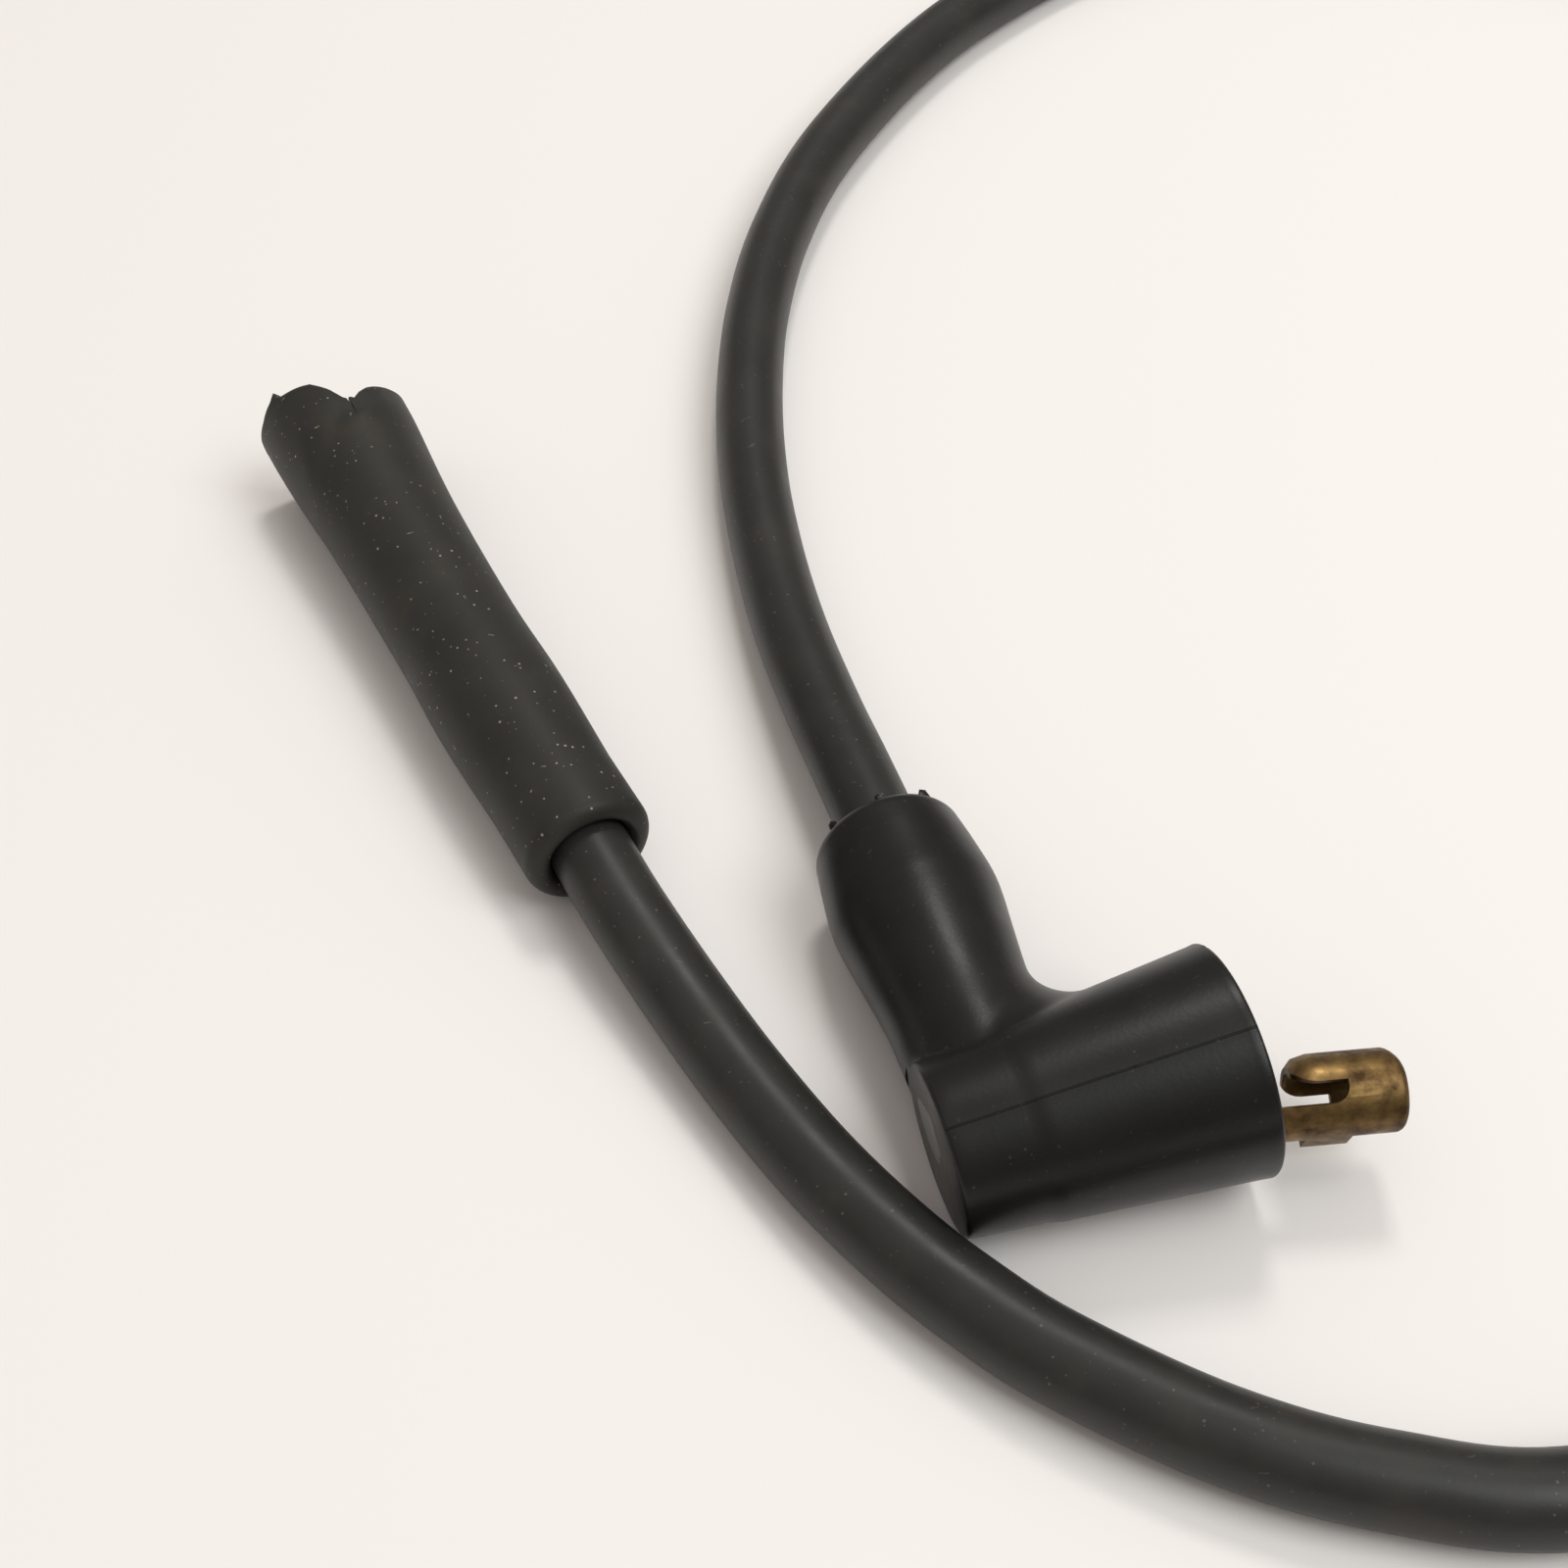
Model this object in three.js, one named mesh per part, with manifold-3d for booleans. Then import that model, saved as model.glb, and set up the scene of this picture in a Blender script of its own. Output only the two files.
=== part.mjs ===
// A spark plug wire: one high tension ignition lead, lying on a table.
// A straight rubber boot is on the plug end, a right angled one on the distributor end, and each holds
// a formed brass terminal that is crimped on the lead's jacket and on the tail of its core.
// Millimetres, +Z up. The table is z = 0, and +X is the way that the right angled boot's mouth points.

import * as THREE from "three";
import { mergeVertices } from "three/addons/utils/BufferGeometryUtils.js";
import Module from "manifold-3d";

const wasm = await Module();
wasm.setup();

// Clearances.
const FIT = 0.3; // between a piece and the piece that it seats in or on
const BOOT_CLEAR = 0.35; // between a terminal and the rubber round it
const TABLE_CLEAR = 0.02; // between a boot and the table

// Lead.
const JACKET_R = 3.5;
const JACKET_SIDES = 12;
const CORE_R = 1.3;
const CORE_SIDES = 8;
const LEAD_STEPS = 60;
const TAIL_OUT = 6.6; // bare core beyond each end of the jacket
const TAIL_LAP = 1; // how far its straight end runs back into the jacket
const TAIL_PRESS = 0.04; // how much thinner the crimp presses it

// Sheet brass of both terminals.
const SHEET = 0.5;
const NECK_HALF = 1.3; // half the width of the narrow strip between the crimps
const JACKET_CRIMP = 5.5; // length of the wings round the jacket
const JACKET_CRIMP_OPEN = 0.7; // radians left open between their tips
const CORE_CRIMP = 3.8; // length of the wings round the core
const CORE_CRIMP_OPEN = 0.9;
const CRIMP_STEP = 1.6; // length of the slope from one crimp's floor to the other's
const JACKET_INSIDE_CRIMP = 0.8; // how far the jacket runs on past its crimp

// Plug boot, measured from its lead end towards its mouth.
const PLUG_BOOT_LENGTH = 61.8;
const PLUG_BOOT_SIDES = 52;
const PLUG_LEAD_END_R = 5.8;
const PLUG_SHOULDER = 1.5; // rounding at the lead end
const PLUG_STRAIGHT = 8; // the outside is parallel up to here
const PLUG_SWELL_R = 6.15; // the slight swelling over the crimp
const PLUG_SWELL_AT = 19;
const PLUG_WAIST_R = 6.0;
const PLUG_WAIST_AT = 29.5;
const PLUG_FLARE_AT = 45; // the flare towards the mouth starts here
const PLUG_FLARE_R = 6.35;
const PLUG_MOUTH_R = 7.25;
const PLUG_MOUTH_BAND = 5; // the flare is nearly spent over the last stretch
const PLUG_MOUTH_SPREAD = 0.15; // what is left of it there
const PLUG_LEAD_IN = 0.9; // how much wider the bore is at the lead end's face
const PLUG_SOCKET_R = 5.2; // bore for the plug's insulator
const PLUG_SOCKET_AT = 53;
const PLUG_BOW = 0.35; // sideways bow of the outside
const PLUG_BOW_WALL = 0.2; // bores up to this much wider than the crimp's stay straight
const SPLIT_WIDTH = 0.9; // split in the torn mouth, at its open end
const SPLIT_LENGTH = 4.9;
const SPLIT_TURN = 9; // degrees from the top
const CUT_PAST = 1; // how far a cut runs on past the surface that it opens

// The torn mouth: degrees round from the top, and how far the rubber stands past the nominal length.
const TEAR = [
  [0, -2.0], [5, -3.9], [10, -4.1], [14, -4.6], [24, -3.4], [37, -2.5], [52, -1.7], [68, -0.7],
  [90, -0.2], [115, 0.4], [140, -0.5], [165, 0.8], [190, 0.2], [215, 1.4], [240, 2.0], [267, 2.9],
  [288, 2.2], [307, 2.3], [314, 2.7], [318, 1.4], [327, 0.9], [344, 0.0], [355, -1.1],
];
const TEAR_REACH = 9; // the tear's pull on the rubber fades out over this length

// Plug terminal, from the same end.
const PLUG_CRIMP_AT = 22.5;
const CLIP_AT = 38.5;
const CLIP_LENGTH = 13;
const CLIP_R = 3.25; // inside, on the plug's nut
const CLIP_SLOT = 0.6; // radians open along the clip's top
const CLIP_WINDOW = 2.2; // width of the side windows that make it springy
const CLIP_WINDOW_LENGTH = 6;
const CLIP_FLOOR_LAP = 2; // how far the strip's end lies on the clip's floor
const CLIP_FLOOR_RISE = 0.4; // and how far before the clip it is level with it

// Right angled boot. Its barrel runs along local +X and its stem along local +Y from the corner.
const BARREL_HEEL = 5.9; // from the corner back to the flat heel
const BARREL_HEEL_R = 7.0;
const BARREL_MOUTH = 18.1;
const BARREL_MOUTH_R = 9.3;
const BARREL_EDGE = 0.35;
const BARREL_SIDES = 48;
const SOCKET_WALL = 1.7;
const SOCKET_AT = 5; // the tower socket's floor
const CORNER_R = 4.85; // chamber and stem bore round the terminal
const HEEL_WALL = 1.1;
const HEEL_FLAT = 7.15; // the heel's two flats, from the boot's middle plane
const HEEL_FLAT_END = 1.0;
const HEEL_FLAT_RUN = 1.6; // length of the slope that each ends in
const SOCKET_LEAD_IN = 0.9; // how much wider the socket is at the mouth
const SOCKET_LEAD_IN_AT = 0.4; // from the mouth
const CHAMBER_CHAMFER = 0.6;
const BORE_CHAMFER = 0.8;
const STEM_LIP = 30.7;
const STEM_LIP_R = 6.5;
const STEM_SHOULDER = 1.5;
const STEM_SWELL_AT = 23.2;
const STEM_SWELL_R = 7.2;
const STEM_SWELL_UP = 6.72; // the swelling is a little flatter than wide
const STEM_SWELL_REACH = 8;
const STEM_NECK_AT = 12;
const STEM_NECK_R = 6.15;
const STEM_FOOT = 4; // from the neck down to where the stem is parallel
const STEM_FOOT_IN = 0.1; // how much slimmer it is there
const STEM_RISE = 4.5; // from the neck up to the start of the swelling
const STEM_RISE_OUT = 0.45;
const STEM_CREST = 2.5; // from the start of the swelling's crest to its widest ring
const STEM_CREST_IN = 0.1;
const STEM_FALL = 3.5; // from there up to where it has fallen away
const STEM_FALL_IN = 0.45;
const STEM_SIDES = 40;
const CROTCH_R = 5.2; // fillet between the stem and the barrel
const CROTCH_LEAST = 0.14; // share of its radius that is left at the sides of the stem
const CROTCH_SINK = 0.12; // how far its ends sink in the stem and the barrel
const CROTCH_ROOT = 1; // how far its back reaches into both
const CROTCH_SPAN = 0.96; // share of the stem's width that it fills

// Distributor terminal.
const ELBOW_CRIMP_AT = 11.4; // from the corner up the stem
const BEND_INSIDE_R = 2.2;
const TERMINAL_OPENING = 11.5; // degrees that it is bent short of a right angle
const TERMINAL_SWING = 4.1; // degrees that it is turned about the stem
const TERMINAL_PIVOT = [0.33, 0.42]; // where its axis passes the corner
const RING_END = 29.56; // from there to the ring's end
const RING_LENGTH = 4.56;
const RING_R = 3.25;
const RING_NOSE = 0.7; // rounding of its end
const RING_LAP = 0.6; // how far the strip and the tongue run on into its wall
const RING_SIDES = 36;
const RING_DENT = 0.65; // how far its end is pressed back on its far upper side
const RING_DENT_TURN = 150; // degrees round to the middle of that
const TONGUE_LENGTH = 3.95;
const TONGUE_CORNER = 1.8;
const TONGUE_CURL = 0.9; // its tip curls in by this much
const TONGUE_CURL_LENGTH = 2;
const TONGUE_FROM = 75; // degrees round from the middle of the strip's floor
const TONGUE_TO = 235;
const SLOT_CORNER = 1.4; // rounding of the slot's end on the strip's side
const SLOT_LAP = 1; // degrees that the slot's end runs on under the tongue
const STRIP_WIDE_AT = 8.5; // the strip takes its full width here
const STRIP_LAP = 1; // how far the narrow strip lies on the wide one
const STRIP_FROM = -35; // the wide strip is curved like the ring, between these degrees
const STRIP_TO = 43;
const EAR_FROM = -20; // a low flat ear leaves the strip's curve here
const EAR_WIDTH = 2.5;
const EAR_LENGTH = 3.1;

// Where the pieces lie.
const PLUG_BOOT_AT = [-16.82, -8.10];
const PLUG_BOOT_HEADING = 101.3;
const ELBOW_AT = [7.11, -44.92];
const STEM_DIP = 2.0; // degrees that the stem slopes down to the table

// The lead's route between the boots, chosen by hand.
const ROUTE = [
  [-15.5, -14.4, 5.4], [-13.1, -23.1, 4.35], [-10.4, -32.1, 3.7], [-7.1, -41.6, 3.6], [-3.3, -49.8, 3.6],
  [0.3, -55.8, 3.6], [4.9, -61.9, 3.6], [13.9, -70.7, 3.6], [23.4, -77.0, 3.6], [35.5, -81.8, 3.6],
  [58.1, -83.3, 3.6], [81.3, -75.5, 3.6], [102.7, -60.1, 3.6], [122.7, -37.7, 3.6], [138.2, -13.2, 3.6],
  [150.6, 14.5, 3.6], [159.0, 45.3, 3.6], [161.4, 74.0, 3.6], [156.8, 98.2, 3.6], [145.6, 117.1, 3.6],
  [128.5, 130.0, 3.6], [107.2, 134.7, 3.6], [85.0, 130.8, 3.6], [65.5, 120.8, 3.6], [50.3, 109.0, 3.6],
  [35.3, 93.2, 3.6], [25.4, 78.6, 3.6], [18.6, 64.7, 3.6], [14.0, 51.7, 3.6], [10.8, 39.2, 3.6],
  [8.8, 27.3, 3.7], [7.6, 15.5, 4.25], [7.2, 3.8, 5.1], [7.2, -4.7, 5.9],
];

const deg = THREE.MathUtils.degToRad;

// A closed geometry as a solid that can be cut and joined.
function solid(geometry) {
  const bare = geometry.clone();
  bare.deleteAttribute("normal");
  bare.deleteAttribute("uv");
  const merged = mergeVertices(bare, 1e-4);
  const corners = merged.index.array;
  const triVerts = [];
  for (let i = 0; i < corners.length; i += 3) {
    const [a, b, c] = corners.slice(i, i + 3);
    if (a !== b && b !== c && c !== a) triVerts.push(a, b, c);
  }
  return new wasm.Manifold(new wasm.Mesh({
    numProp: 3,
    vertProperties: new Float32Array(merged.attributes.position.array),
    triVerts: new Uint32Array(triVerts),
  }));
}

// A solid back as a geometry.
function geometryOf(body) {
  const mesh = body.getMesh();
  const geometry = new THREE.BufferGeometry();
  geometry.setAttribute("position", new THREE.BufferAttribute(new Float32Array(mesh.vertProperties), 3));
  geometry.setIndex(new THREE.BufferAttribute(new Uint32Array(mesh.triVerts), 1));
  return geometry;
}

// A profile of [along, radius] points turned about the Y axis.
function turned(profile, sides) {
  return new THREE.LatheGeometry(profile.map(([along, r]) => new THREE.Vector2(r, along)), sides);
}

// A profile that closes on itself, for a hollow body.
function tube(profile, sides) {
  return turned([...profile, profile[0]], sides);
}

// A profile that is closed to the axis at both ends, for a body that is solid to the middle.
function rod(profile, sides) {
  return turned([[profile[0][0], 0], ...profile, [profile[profile.length - 1][0], 0]], sides);
}

// Points of a smooth curve through [along, radius] stations.
function smooth(stations, count) {
  const curve = new THREE.SplineCurve(stations.map(([x, r]) => new THREE.Vector2(x, r)));
  return curve.getPoints(count).map((p) => [p.x, p.y]);
}

// Points of a quarter round from one direction to another, in degrees.
function arc(centre, radius, from, to, count) {
  return Array.from({ length: count + 1 }, (_, i) => {
    const a = deg(from + ((to - from) * i) / count);
    return [centre[0] + radius * Math.cos(a), centre[1] + radius * Math.sin(a)];
  });
}

// A flat outline with a thickness along +Z.
function plate(points, thickness, z = 0) {
  const shape = new THREE.Shape(points.map(([x, y]) => new THREE.Vector2(x, y)));
  const geometry = new THREE.ExtrudeGeometry(shape, { depth: thickness, bevelEnabled: false });
  return geometry.translate(0, 0, z);
}

// Turns what was drawn in X and Y and extruded along Z to lie in Y and Z and run along X.
const fromSection = new THREE.Matrix4().set(0, 0, 1, 0, 1, 0, 0, 0, 0, 1, 0, 0, 0, 0, 0, 1);

// A curled strip of sheet: part of a tube along +X, from one angle to another about X, in radians from +Y.
function curl(inside, from, to, start, length, steps) {
  const outer = [];
  const inner = [];
  for (let i = 0; i <= steps; i += 1) {
    const a = from + ((to - from) * i) / steps;
    outer.push([Math.cos(a) * (inside + SHEET), Math.sin(a) * (inside + SHEET)]);
    inner.unshift([Math.cos(a) * inside, Math.sin(a) * inside]);
  }
  return plate([...outer, ...inner], length, start).applyMatrix4(fromSection);
}

// A strip of sheet seen from its edge: a path in X and Y with the sheet's thickness, and a width in Z.
function strip(path, low, high) {
  const left = [];
  const right = [];
  path.forEach(([x, y], i) => {
    const before = path[Math.max(i - 1, 0)];
    const after = path[Math.min(i + 1, path.length - 1)];
    const way = new THREE.Vector2(after[0] - before[0], after[1] - before[1]).normalize();
    left.push([x - (way.y * SHEET) / 2, y + (way.x * SHEET) / 2]);
    right.unshift([x + (way.y * SHEET) / 2, y - (way.x * SHEET) / 2]);
  });
  return plate([...left, ...right], high - low, low);
}

function join(geometries) {
  return geometries.map(solid).reduce((all, piece) => all.add(piece));
}

function cut(body, geometries) {
  return geometries.map(solid).reduce((left, piece) => left.subtract(piece), body);
}

// Plug boot, along +X from its lead end. Local +Z is up and local -Y is the side of positive tear angles.
const crimpOut = JACKET_R + FIT + SHEET;
const crimpBore = Math.hypot(crimpOut, NECK_HALF) + BOOT_CLEAR;
const leadBore = JACKET_R + FIT;
const clipBore = CLIP_R + SHEET + BOOT_CLEAR;

function tearAt(angle) {
  const a = ((angle % 360) + 360) % 360;
  const next = TEAR.findIndex(([turn]) => turn > a);
  const [toTurn, to] = next < 0 ? [TEAR[0][0] + 360, TEAR[0][1]] : TEAR[next];
  const [fromTurn, from] = TEAR[(next < 0 ? TEAR.length : next) - 1];
  return from + ((to - from) * (a - fromTurn)) / (toTurn - fromTurn);
}

function plugBoot() {
  const outside = [
    ...arc([PLUG_SHOULDER, PLUG_LEAD_END_R - PLUG_SHOULDER], PLUG_SHOULDER, 180, 90, 5),
    ...smooth([
      [PLUG_STRAIGHT, PLUG_LEAD_END_R],
      [PLUG_SWELL_AT, PLUG_SWELL_R],
      [PLUG_WAIST_AT, PLUG_WAIST_R],
      [PLUG_FLARE_AT, PLUG_FLARE_R],
      [PLUG_BOOT_LENGTH - PLUG_MOUTH_BAND, PLUG_MOUTH_R - PLUG_MOUTH_SPREAD],
      [PLUG_BOOT_LENGTH, PLUG_MOUTH_R],
    ], 16),
  ];
  const clipStart = CLIP_AT - CRIMP_STEP;
  const inside = [
    [PLUG_BOOT_LENGTH, PLUG_SOCKET_R],
    [PLUG_SOCKET_AT, PLUG_SOCKET_R],
    [PLUG_SOCKET_AT, clipBore],
    [clipStart, clipBore],
    [clipStart - FIT, crimpBore],
    [PLUG_CRIMP_AT - FIT, crimpBore],
    [PLUG_CRIMP_AT - FIT, leadBore],
    [PLUG_LEAD_IN, leadBore],
    [0, leadBore + PLUG_LEAD_IN / 2],
  ];
  const geometry = tube([...outside, ...inside], PLUG_BOOT_SIDES).rotateZ(-Math.PI / 2);
  const place = geometry.attributes.position;
  for (let i = 0; i < place.count; i += 1) {
    const x = place.getX(i);
    const y = place.getY(i);
    const z = place.getZ(i);
    const along = x / PLUG_BOOT_LENGTH;
    const outer = Math.hypot(y, z) > crimpBore + PLUG_BOW_WALL && x > PLUG_SHOULDER;
    const pull = THREE.MathUtils.smoothstep(x, PLUG_BOOT_LENGTH - TEAR_REACH, PLUG_BOOT_LENGTH);
    place.setX(i, x + pull * tearAt(THREE.MathUtils.radToDeg(Math.atan2(-y, z))));
    if (outer) place.setY(i, y + PLUG_BOW * Math.sin(Math.PI * Math.min(along, 1)));
  }
  // The split is a wedge that opens towards the mouth.
  const tornAt = PLUG_BOOT_LENGTH + tearAt(SPLIT_TURN);
  const splitTo = tornAt + CUT_PAST;
  const splitHalf = ((SPLIT_WIDTH / 2) * (SPLIT_LENGTH + CUT_PAST)) / SPLIT_LENGTH;
  const split = plate(
    [[tornAt - SPLIT_LENGTH, 0], [splitTo, -splitHalf], [splitTo, splitHalf]],
    PLUG_MOUTH_R,
    PLUG_SOCKET_R - CUT_PAST,
  ).rotateX(deg(SPLIT_TURN));
  return cut(solid(geometry), [split]);
}

// Both terminals start with the same two crimps, here along +X with their floor on the -Y side.
const slopeAfter = JACKET_CRIMP + JACKET_INSIDE_CRIMP + FIT;
const coreCrimpAfter = slopeAfter + CRIMP_STEP;

function crimps(start) {
  const wings = (inside, open, from, length, steps) => (
    curl(inside, open / 2, 2 * Math.PI - open / 2, from, length, steps)
  );
  return [
    wings(JACKET_R + FIT, JACKET_CRIMP_OPEN, start, JACKET_CRIMP, 20),
    wings(CORE_R + FIT, CORE_CRIMP_OPEN, start + coreCrimpAfter, CORE_CRIMP, 14),
  ];
}

// Floor heights of the two crimps, at the middle of the sheet.
const jacketFloor = -(JACKET_R + FIT + SHEET / 2);
const coreFloor = -(CORE_R + FIT + SHEET / 2);

function neckPath(start) {
  return [
    [start + SHEET, jacketFloor],
    [start + slopeAfter, jacketFloor],
    [start + coreCrimpAfter, coreFloor],
    [start + coreCrimpAfter + CORE_CRIMP, coreFloor],
  ];
}

// Plug terminal, along +X in the plug boot's own frame, with its floor below.
function plugTerminal() {
  const clipFloor = -(CLIP_R + SHEET / 2);
  const path = [
    ...neckPath(PLUG_CRIMP_AT),
    [CLIP_AT - CLIP_FLOOR_RISE, clipFloor],
    [CLIP_AT + CLIP_FLOOR_LAP, clipFloor],
  ];
  const clip = curl(CLIP_R, CLIP_SLOT / 2, 2 * Math.PI - CLIP_SLOT / 2, CLIP_AT, CLIP_LENGTH, 36);
  const body = join([...crimps(PLUG_CRIMP_AT), strip(path, -NECK_HALF, NECK_HALF), clip]);
  const window = new THREE.BoxGeometry(CLIP_WINDOW_LENGTH, CLIP_WINDOW, 4 * CLIP_R);
  window.translate(CLIP_AT + CLIP_LENGTH / 2, 0, 0);
  return cut(body, [window]).transform(new THREE.Matrix4().makeRotationX(Math.PI / 2).toArray());
}

// Right angled boot, in its own frame.
const slope = (BARREL_MOUTH_R - BARREL_HEEL_R) / (BARREL_MOUTH + BARREL_HEEL);
const barrelR = (x) => BARREL_HEEL_R + slope * (x + BARREL_HEEL);
const stemSpine = [
  [0, STEM_NECK_R - STEM_FOOT_IN],
  [STEM_NECK_AT - STEM_FOOT, STEM_NECK_R - STEM_FOOT_IN],
  [STEM_NECK_AT, STEM_NECK_R],
  [STEM_NECK_AT + STEM_RISE, STEM_NECK_R + STEM_RISE_OUT],
  [STEM_SWELL_AT - STEM_CREST, STEM_SWELL_R - STEM_CREST_IN],
  [STEM_SWELL_AT, STEM_SWELL_R],
  [STEM_SWELL_AT + STEM_FALL, STEM_SWELL_R - STEM_FALL_IN],
  [STEM_LIP - STEM_SHOULDER, STEM_LIP_R],
];

// The fillet in the crotch: its concave corner profile carried along the line where stem and barrel meet.
function crotchFillet() {
  const layers = 14;
  const reach = STEM_NECK_R - STEM_FOOT_IN;
  const rings = [];
  for (let k = 0; k <= layers; k += 1) {
    const z = reach * Math.sin((((k / layers) * 2 - 1) * Math.PI * CROTCH_SPAN) / 2);
    const x = Math.sqrt(STEM_NECK_R ** 2 - z * z) - CROTCH_SINK;
    const y = Math.sqrt(barrelR(x) ** 2 - z * z) - CROTCH_SINK;
    const r = CROTCH_R * Math.sqrt(Math.max(1 - (z / reach) ** 2, CROTCH_LEAST ** 2));
    const round = arc([x + r, y + r], r, 270, 180, 6);
    const back = [x - CROTCH_ROOT, y - CROTCH_ROOT];
    rings.push([back, [x + r, back[1]], ...round, [back[0], y + r]].map(([a, b]) => [a, b, z]));
  }
  return loft(rings, rings[0]);
}

// A closed body through rings of like points. Its ends are flat, and face is their outline in two dimensions.
function loft(rings, face) {
  const count = rings[0].length;
  const faces = [];
  const end = THREE.ShapeUtils.triangulateShape(face.map(([x, y]) => new THREE.Vector2(x, y)), []);
  const last = (rings.length - 1) * count;
  for (const [a, b, c] of end) {
    faces.push(a, c, b, last + a, last + b, last + c);
  }
  for (let k = 0; k < rings.length - 1; k += 1) {
    for (let i = 0; i < count; i += 1) {
      const a = k * count + i;
      const b = k * count + ((i + 1) % count);
      faces.push(a, b, b + count, a, b + count, a + count);
    }
  }
  const geometry = new THREE.BufferGeometry();
  geometry.setAttribute("position", new THREE.Float32BufferAttribute(rings.flat(2), 3));
  geometry.setIndex(faces);
  return geometry;
}

function elbowBoot() {
  const barrel = rod([
    ...arc([-BARREL_HEEL + BARREL_EDGE, BARREL_HEEL_R - BARREL_EDGE], BARREL_EDGE, 180, 95, 3),
    ...arc([BARREL_MOUTH - BARREL_EDGE, BARREL_MOUTH_R - BARREL_EDGE], BARREL_EDGE, 85, 0, 3),
  ], BARREL_SIDES).rotateZ(-Math.PI / 2);
  const stem = rod([
    ...smooth(stemSpine, 18),
    ...arc([STEM_LIP - STEM_SHOULDER, STEM_LIP_R - STEM_SHOULDER], STEM_SHOULDER, 75, 0, 4),
  ], STEM_SIDES);
  const place = stem.attributes.position;
  for (let i = 0; i < place.count; i += 1) {
    const away = Math.min(Math.abs(place.getY(i) - STEM_SWELL_AT) / STEM_SWELL_REACH, 1);
    const flat = (1 - STEM_SWELL_UP / STEM_SWELL_R) * Math.cos((away * Math.PI) / 2) ** 2;
    place.setZ(i, place.getZ(i) * (1 - flat));
  }
  const socket = rod([
    [-BARREL_HEEL + HEEL_WALL, CORNER_R - CHAMBER_CHAMFER],
    [-BARREL_HEEL + HEEL_WALL + CHAMBER_CHAMFER, CORNER_R],
    [SOCKET_AT, CORNER_R],
    [SOCKET_AT, barrelR(SOCKET_AT) - SOCKET_WALL],
    [BARREL_MOUTH - SOCKET_LEAD_IN_AT, barrelR(BARREL_MOUTH) - SOCKET_WALL],
    [BARREL_MOUTH + CUT_PAST, barrelR(BARREL_MOUTH) - SOCKET_WALL + SOCKET_LEAD_IN],
  ], BARREL_SIDES).rotateZ(-Math.PI / 2);
  const leadHole = rod([
    [BORE_CHAMFER - CORNER_R, CORNER_R - BORE_CHAMFER],
    [2 * BORE_CHAMFER - CORNER_R, CORNER_R],
    [ELBOW_CRIMP_AT + JACKET_CRIMP + BOOT_CLEAR, CORNER_R],
    [ELBOW_CRIMP_AT + JACKET_CRIMP + BOOT_CLEAR, leadBore],
    [STEM_LIP + CUT_PAST, leadBore],
  ], STEM_SIDES);
  // Each flat ends in a slope that meets the barrel's side, drawn in X and Z.
  const height = barrelR(HEEL_FLAT_END) - HEEL_FLAT;
  const flat = [
    [-BARREL_HEEL - CUT_PAST, HEEL_FLAT],
    [HEEL_FLAT_END - HEEL_FLAT_RUN, HEEL_FLAT],
    [HEEL_FLAT_END + HEEL_FLAT_RUN, HEEL_FLAT + 2 * height],
    [-BARREL_HEEL - CUT_PAST, HEEL_FLAT + 2 * height],
  ];
  const flats = [1, -1].map((side) => plate(flat, 2 * BARREL_HEEL_R, -BARREL_HEEL_R)
    .rotateX((side * Math.PI) / 2));
  return cut(join([barrel, stem, crotchFillet()]), [...flats, socket, leadHole]);
}

// A point round the ring's axis, by its angle from the strip's middle, which is on the -Y side, over the top.
function around(angle, r) {
  return [-r * Math.cos(angle), r * Math.sin(angle)];
}

// A piece of the ring's wall between two angles. startAt gives where it starts, from the distances to its two
// sides, and radiusAt gives its outer radius along the axis.
function wallPiece(fromTurn, toTurn, steps, startAt, end, stations = 1, radiusAt = () => RING_R) {
  const from = deg(fromTurn);
  const span = deg(toTurn) - from;
  const rings = [];
  let face;
  for (let k = 0; k <= steps; k += 1) {
    // The steps are closer together at both sides, where the corners are.
    const share = (1 - Math.cos((Math.PI * k) / steps)) / 2;
    const start = startAt(share * span * RING_R, (1 - share) * span * RING_R);
    const outer = [];
    const inner = [];
    for (let i = 0; i <= stations; i += 1) {
      const x = start + (end - start) * (i / stations) ** 1.5;
      outer.push([x, radiusAt(x)]);
      inner.unshift([x, radiusAt(x) - SHEET]);
    }
    const section = [...outer, ...inner];
    face = face || section.map(([x, r]) => [x, -r]);
    rings.push(section.map(([x, r]) => [x, ...around(from + share * span, r)]));
  }
  return loft(rings, face);
}

// How far a rounded corner stands back, at a distance from its side.
function cornerBack(radius, distance) {
  const inset = Math.max(radius - distance, 0);
  return radius - Math.sqrt(radius ** 2 - inset ** 2);
}

// The tongue runs back over the strip. Its corners are rounded, and its tip curls in.
function tongue(ringStart) {
  const tip = ringStart - TONGUE_LENGTH;
  const startAt = (one, other) => tip + cornerBack(TONGUE_CORNER, Math.min(one, other));
  const radiusAt = (x) => {
    const u = Math.max(1 - (x - tip) / TONGUE_CURL_LENGTH, 0);
    return RING_R - TONGUE_CURL * (1 - Math.sqrt(1 - u * u));
  };
  return wallPiece(TONGUE_FROM, TONGUE_TO, 20, startAt, ringStart + RING_LAP, 4, radiusAt);
}

// The wide strip, and the rounded end of the slot that it leaves below the tongue.
function wideStrip(ringStart) {
  const slotStart = (one) => ringStart - cornerBack(SLOT_CORNER, one);
  return [
    wallPiece(STRIP_FROM, STRIP_TO, 12, () => STRIP_WIDE_AT, ringStart + RING_LAP),
    wallPiece(STRIP_TO, TONGUE_FROM + SLOT_LAP, 10, slotStart, ringStart + RING_LAP),
  ];
}

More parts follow.
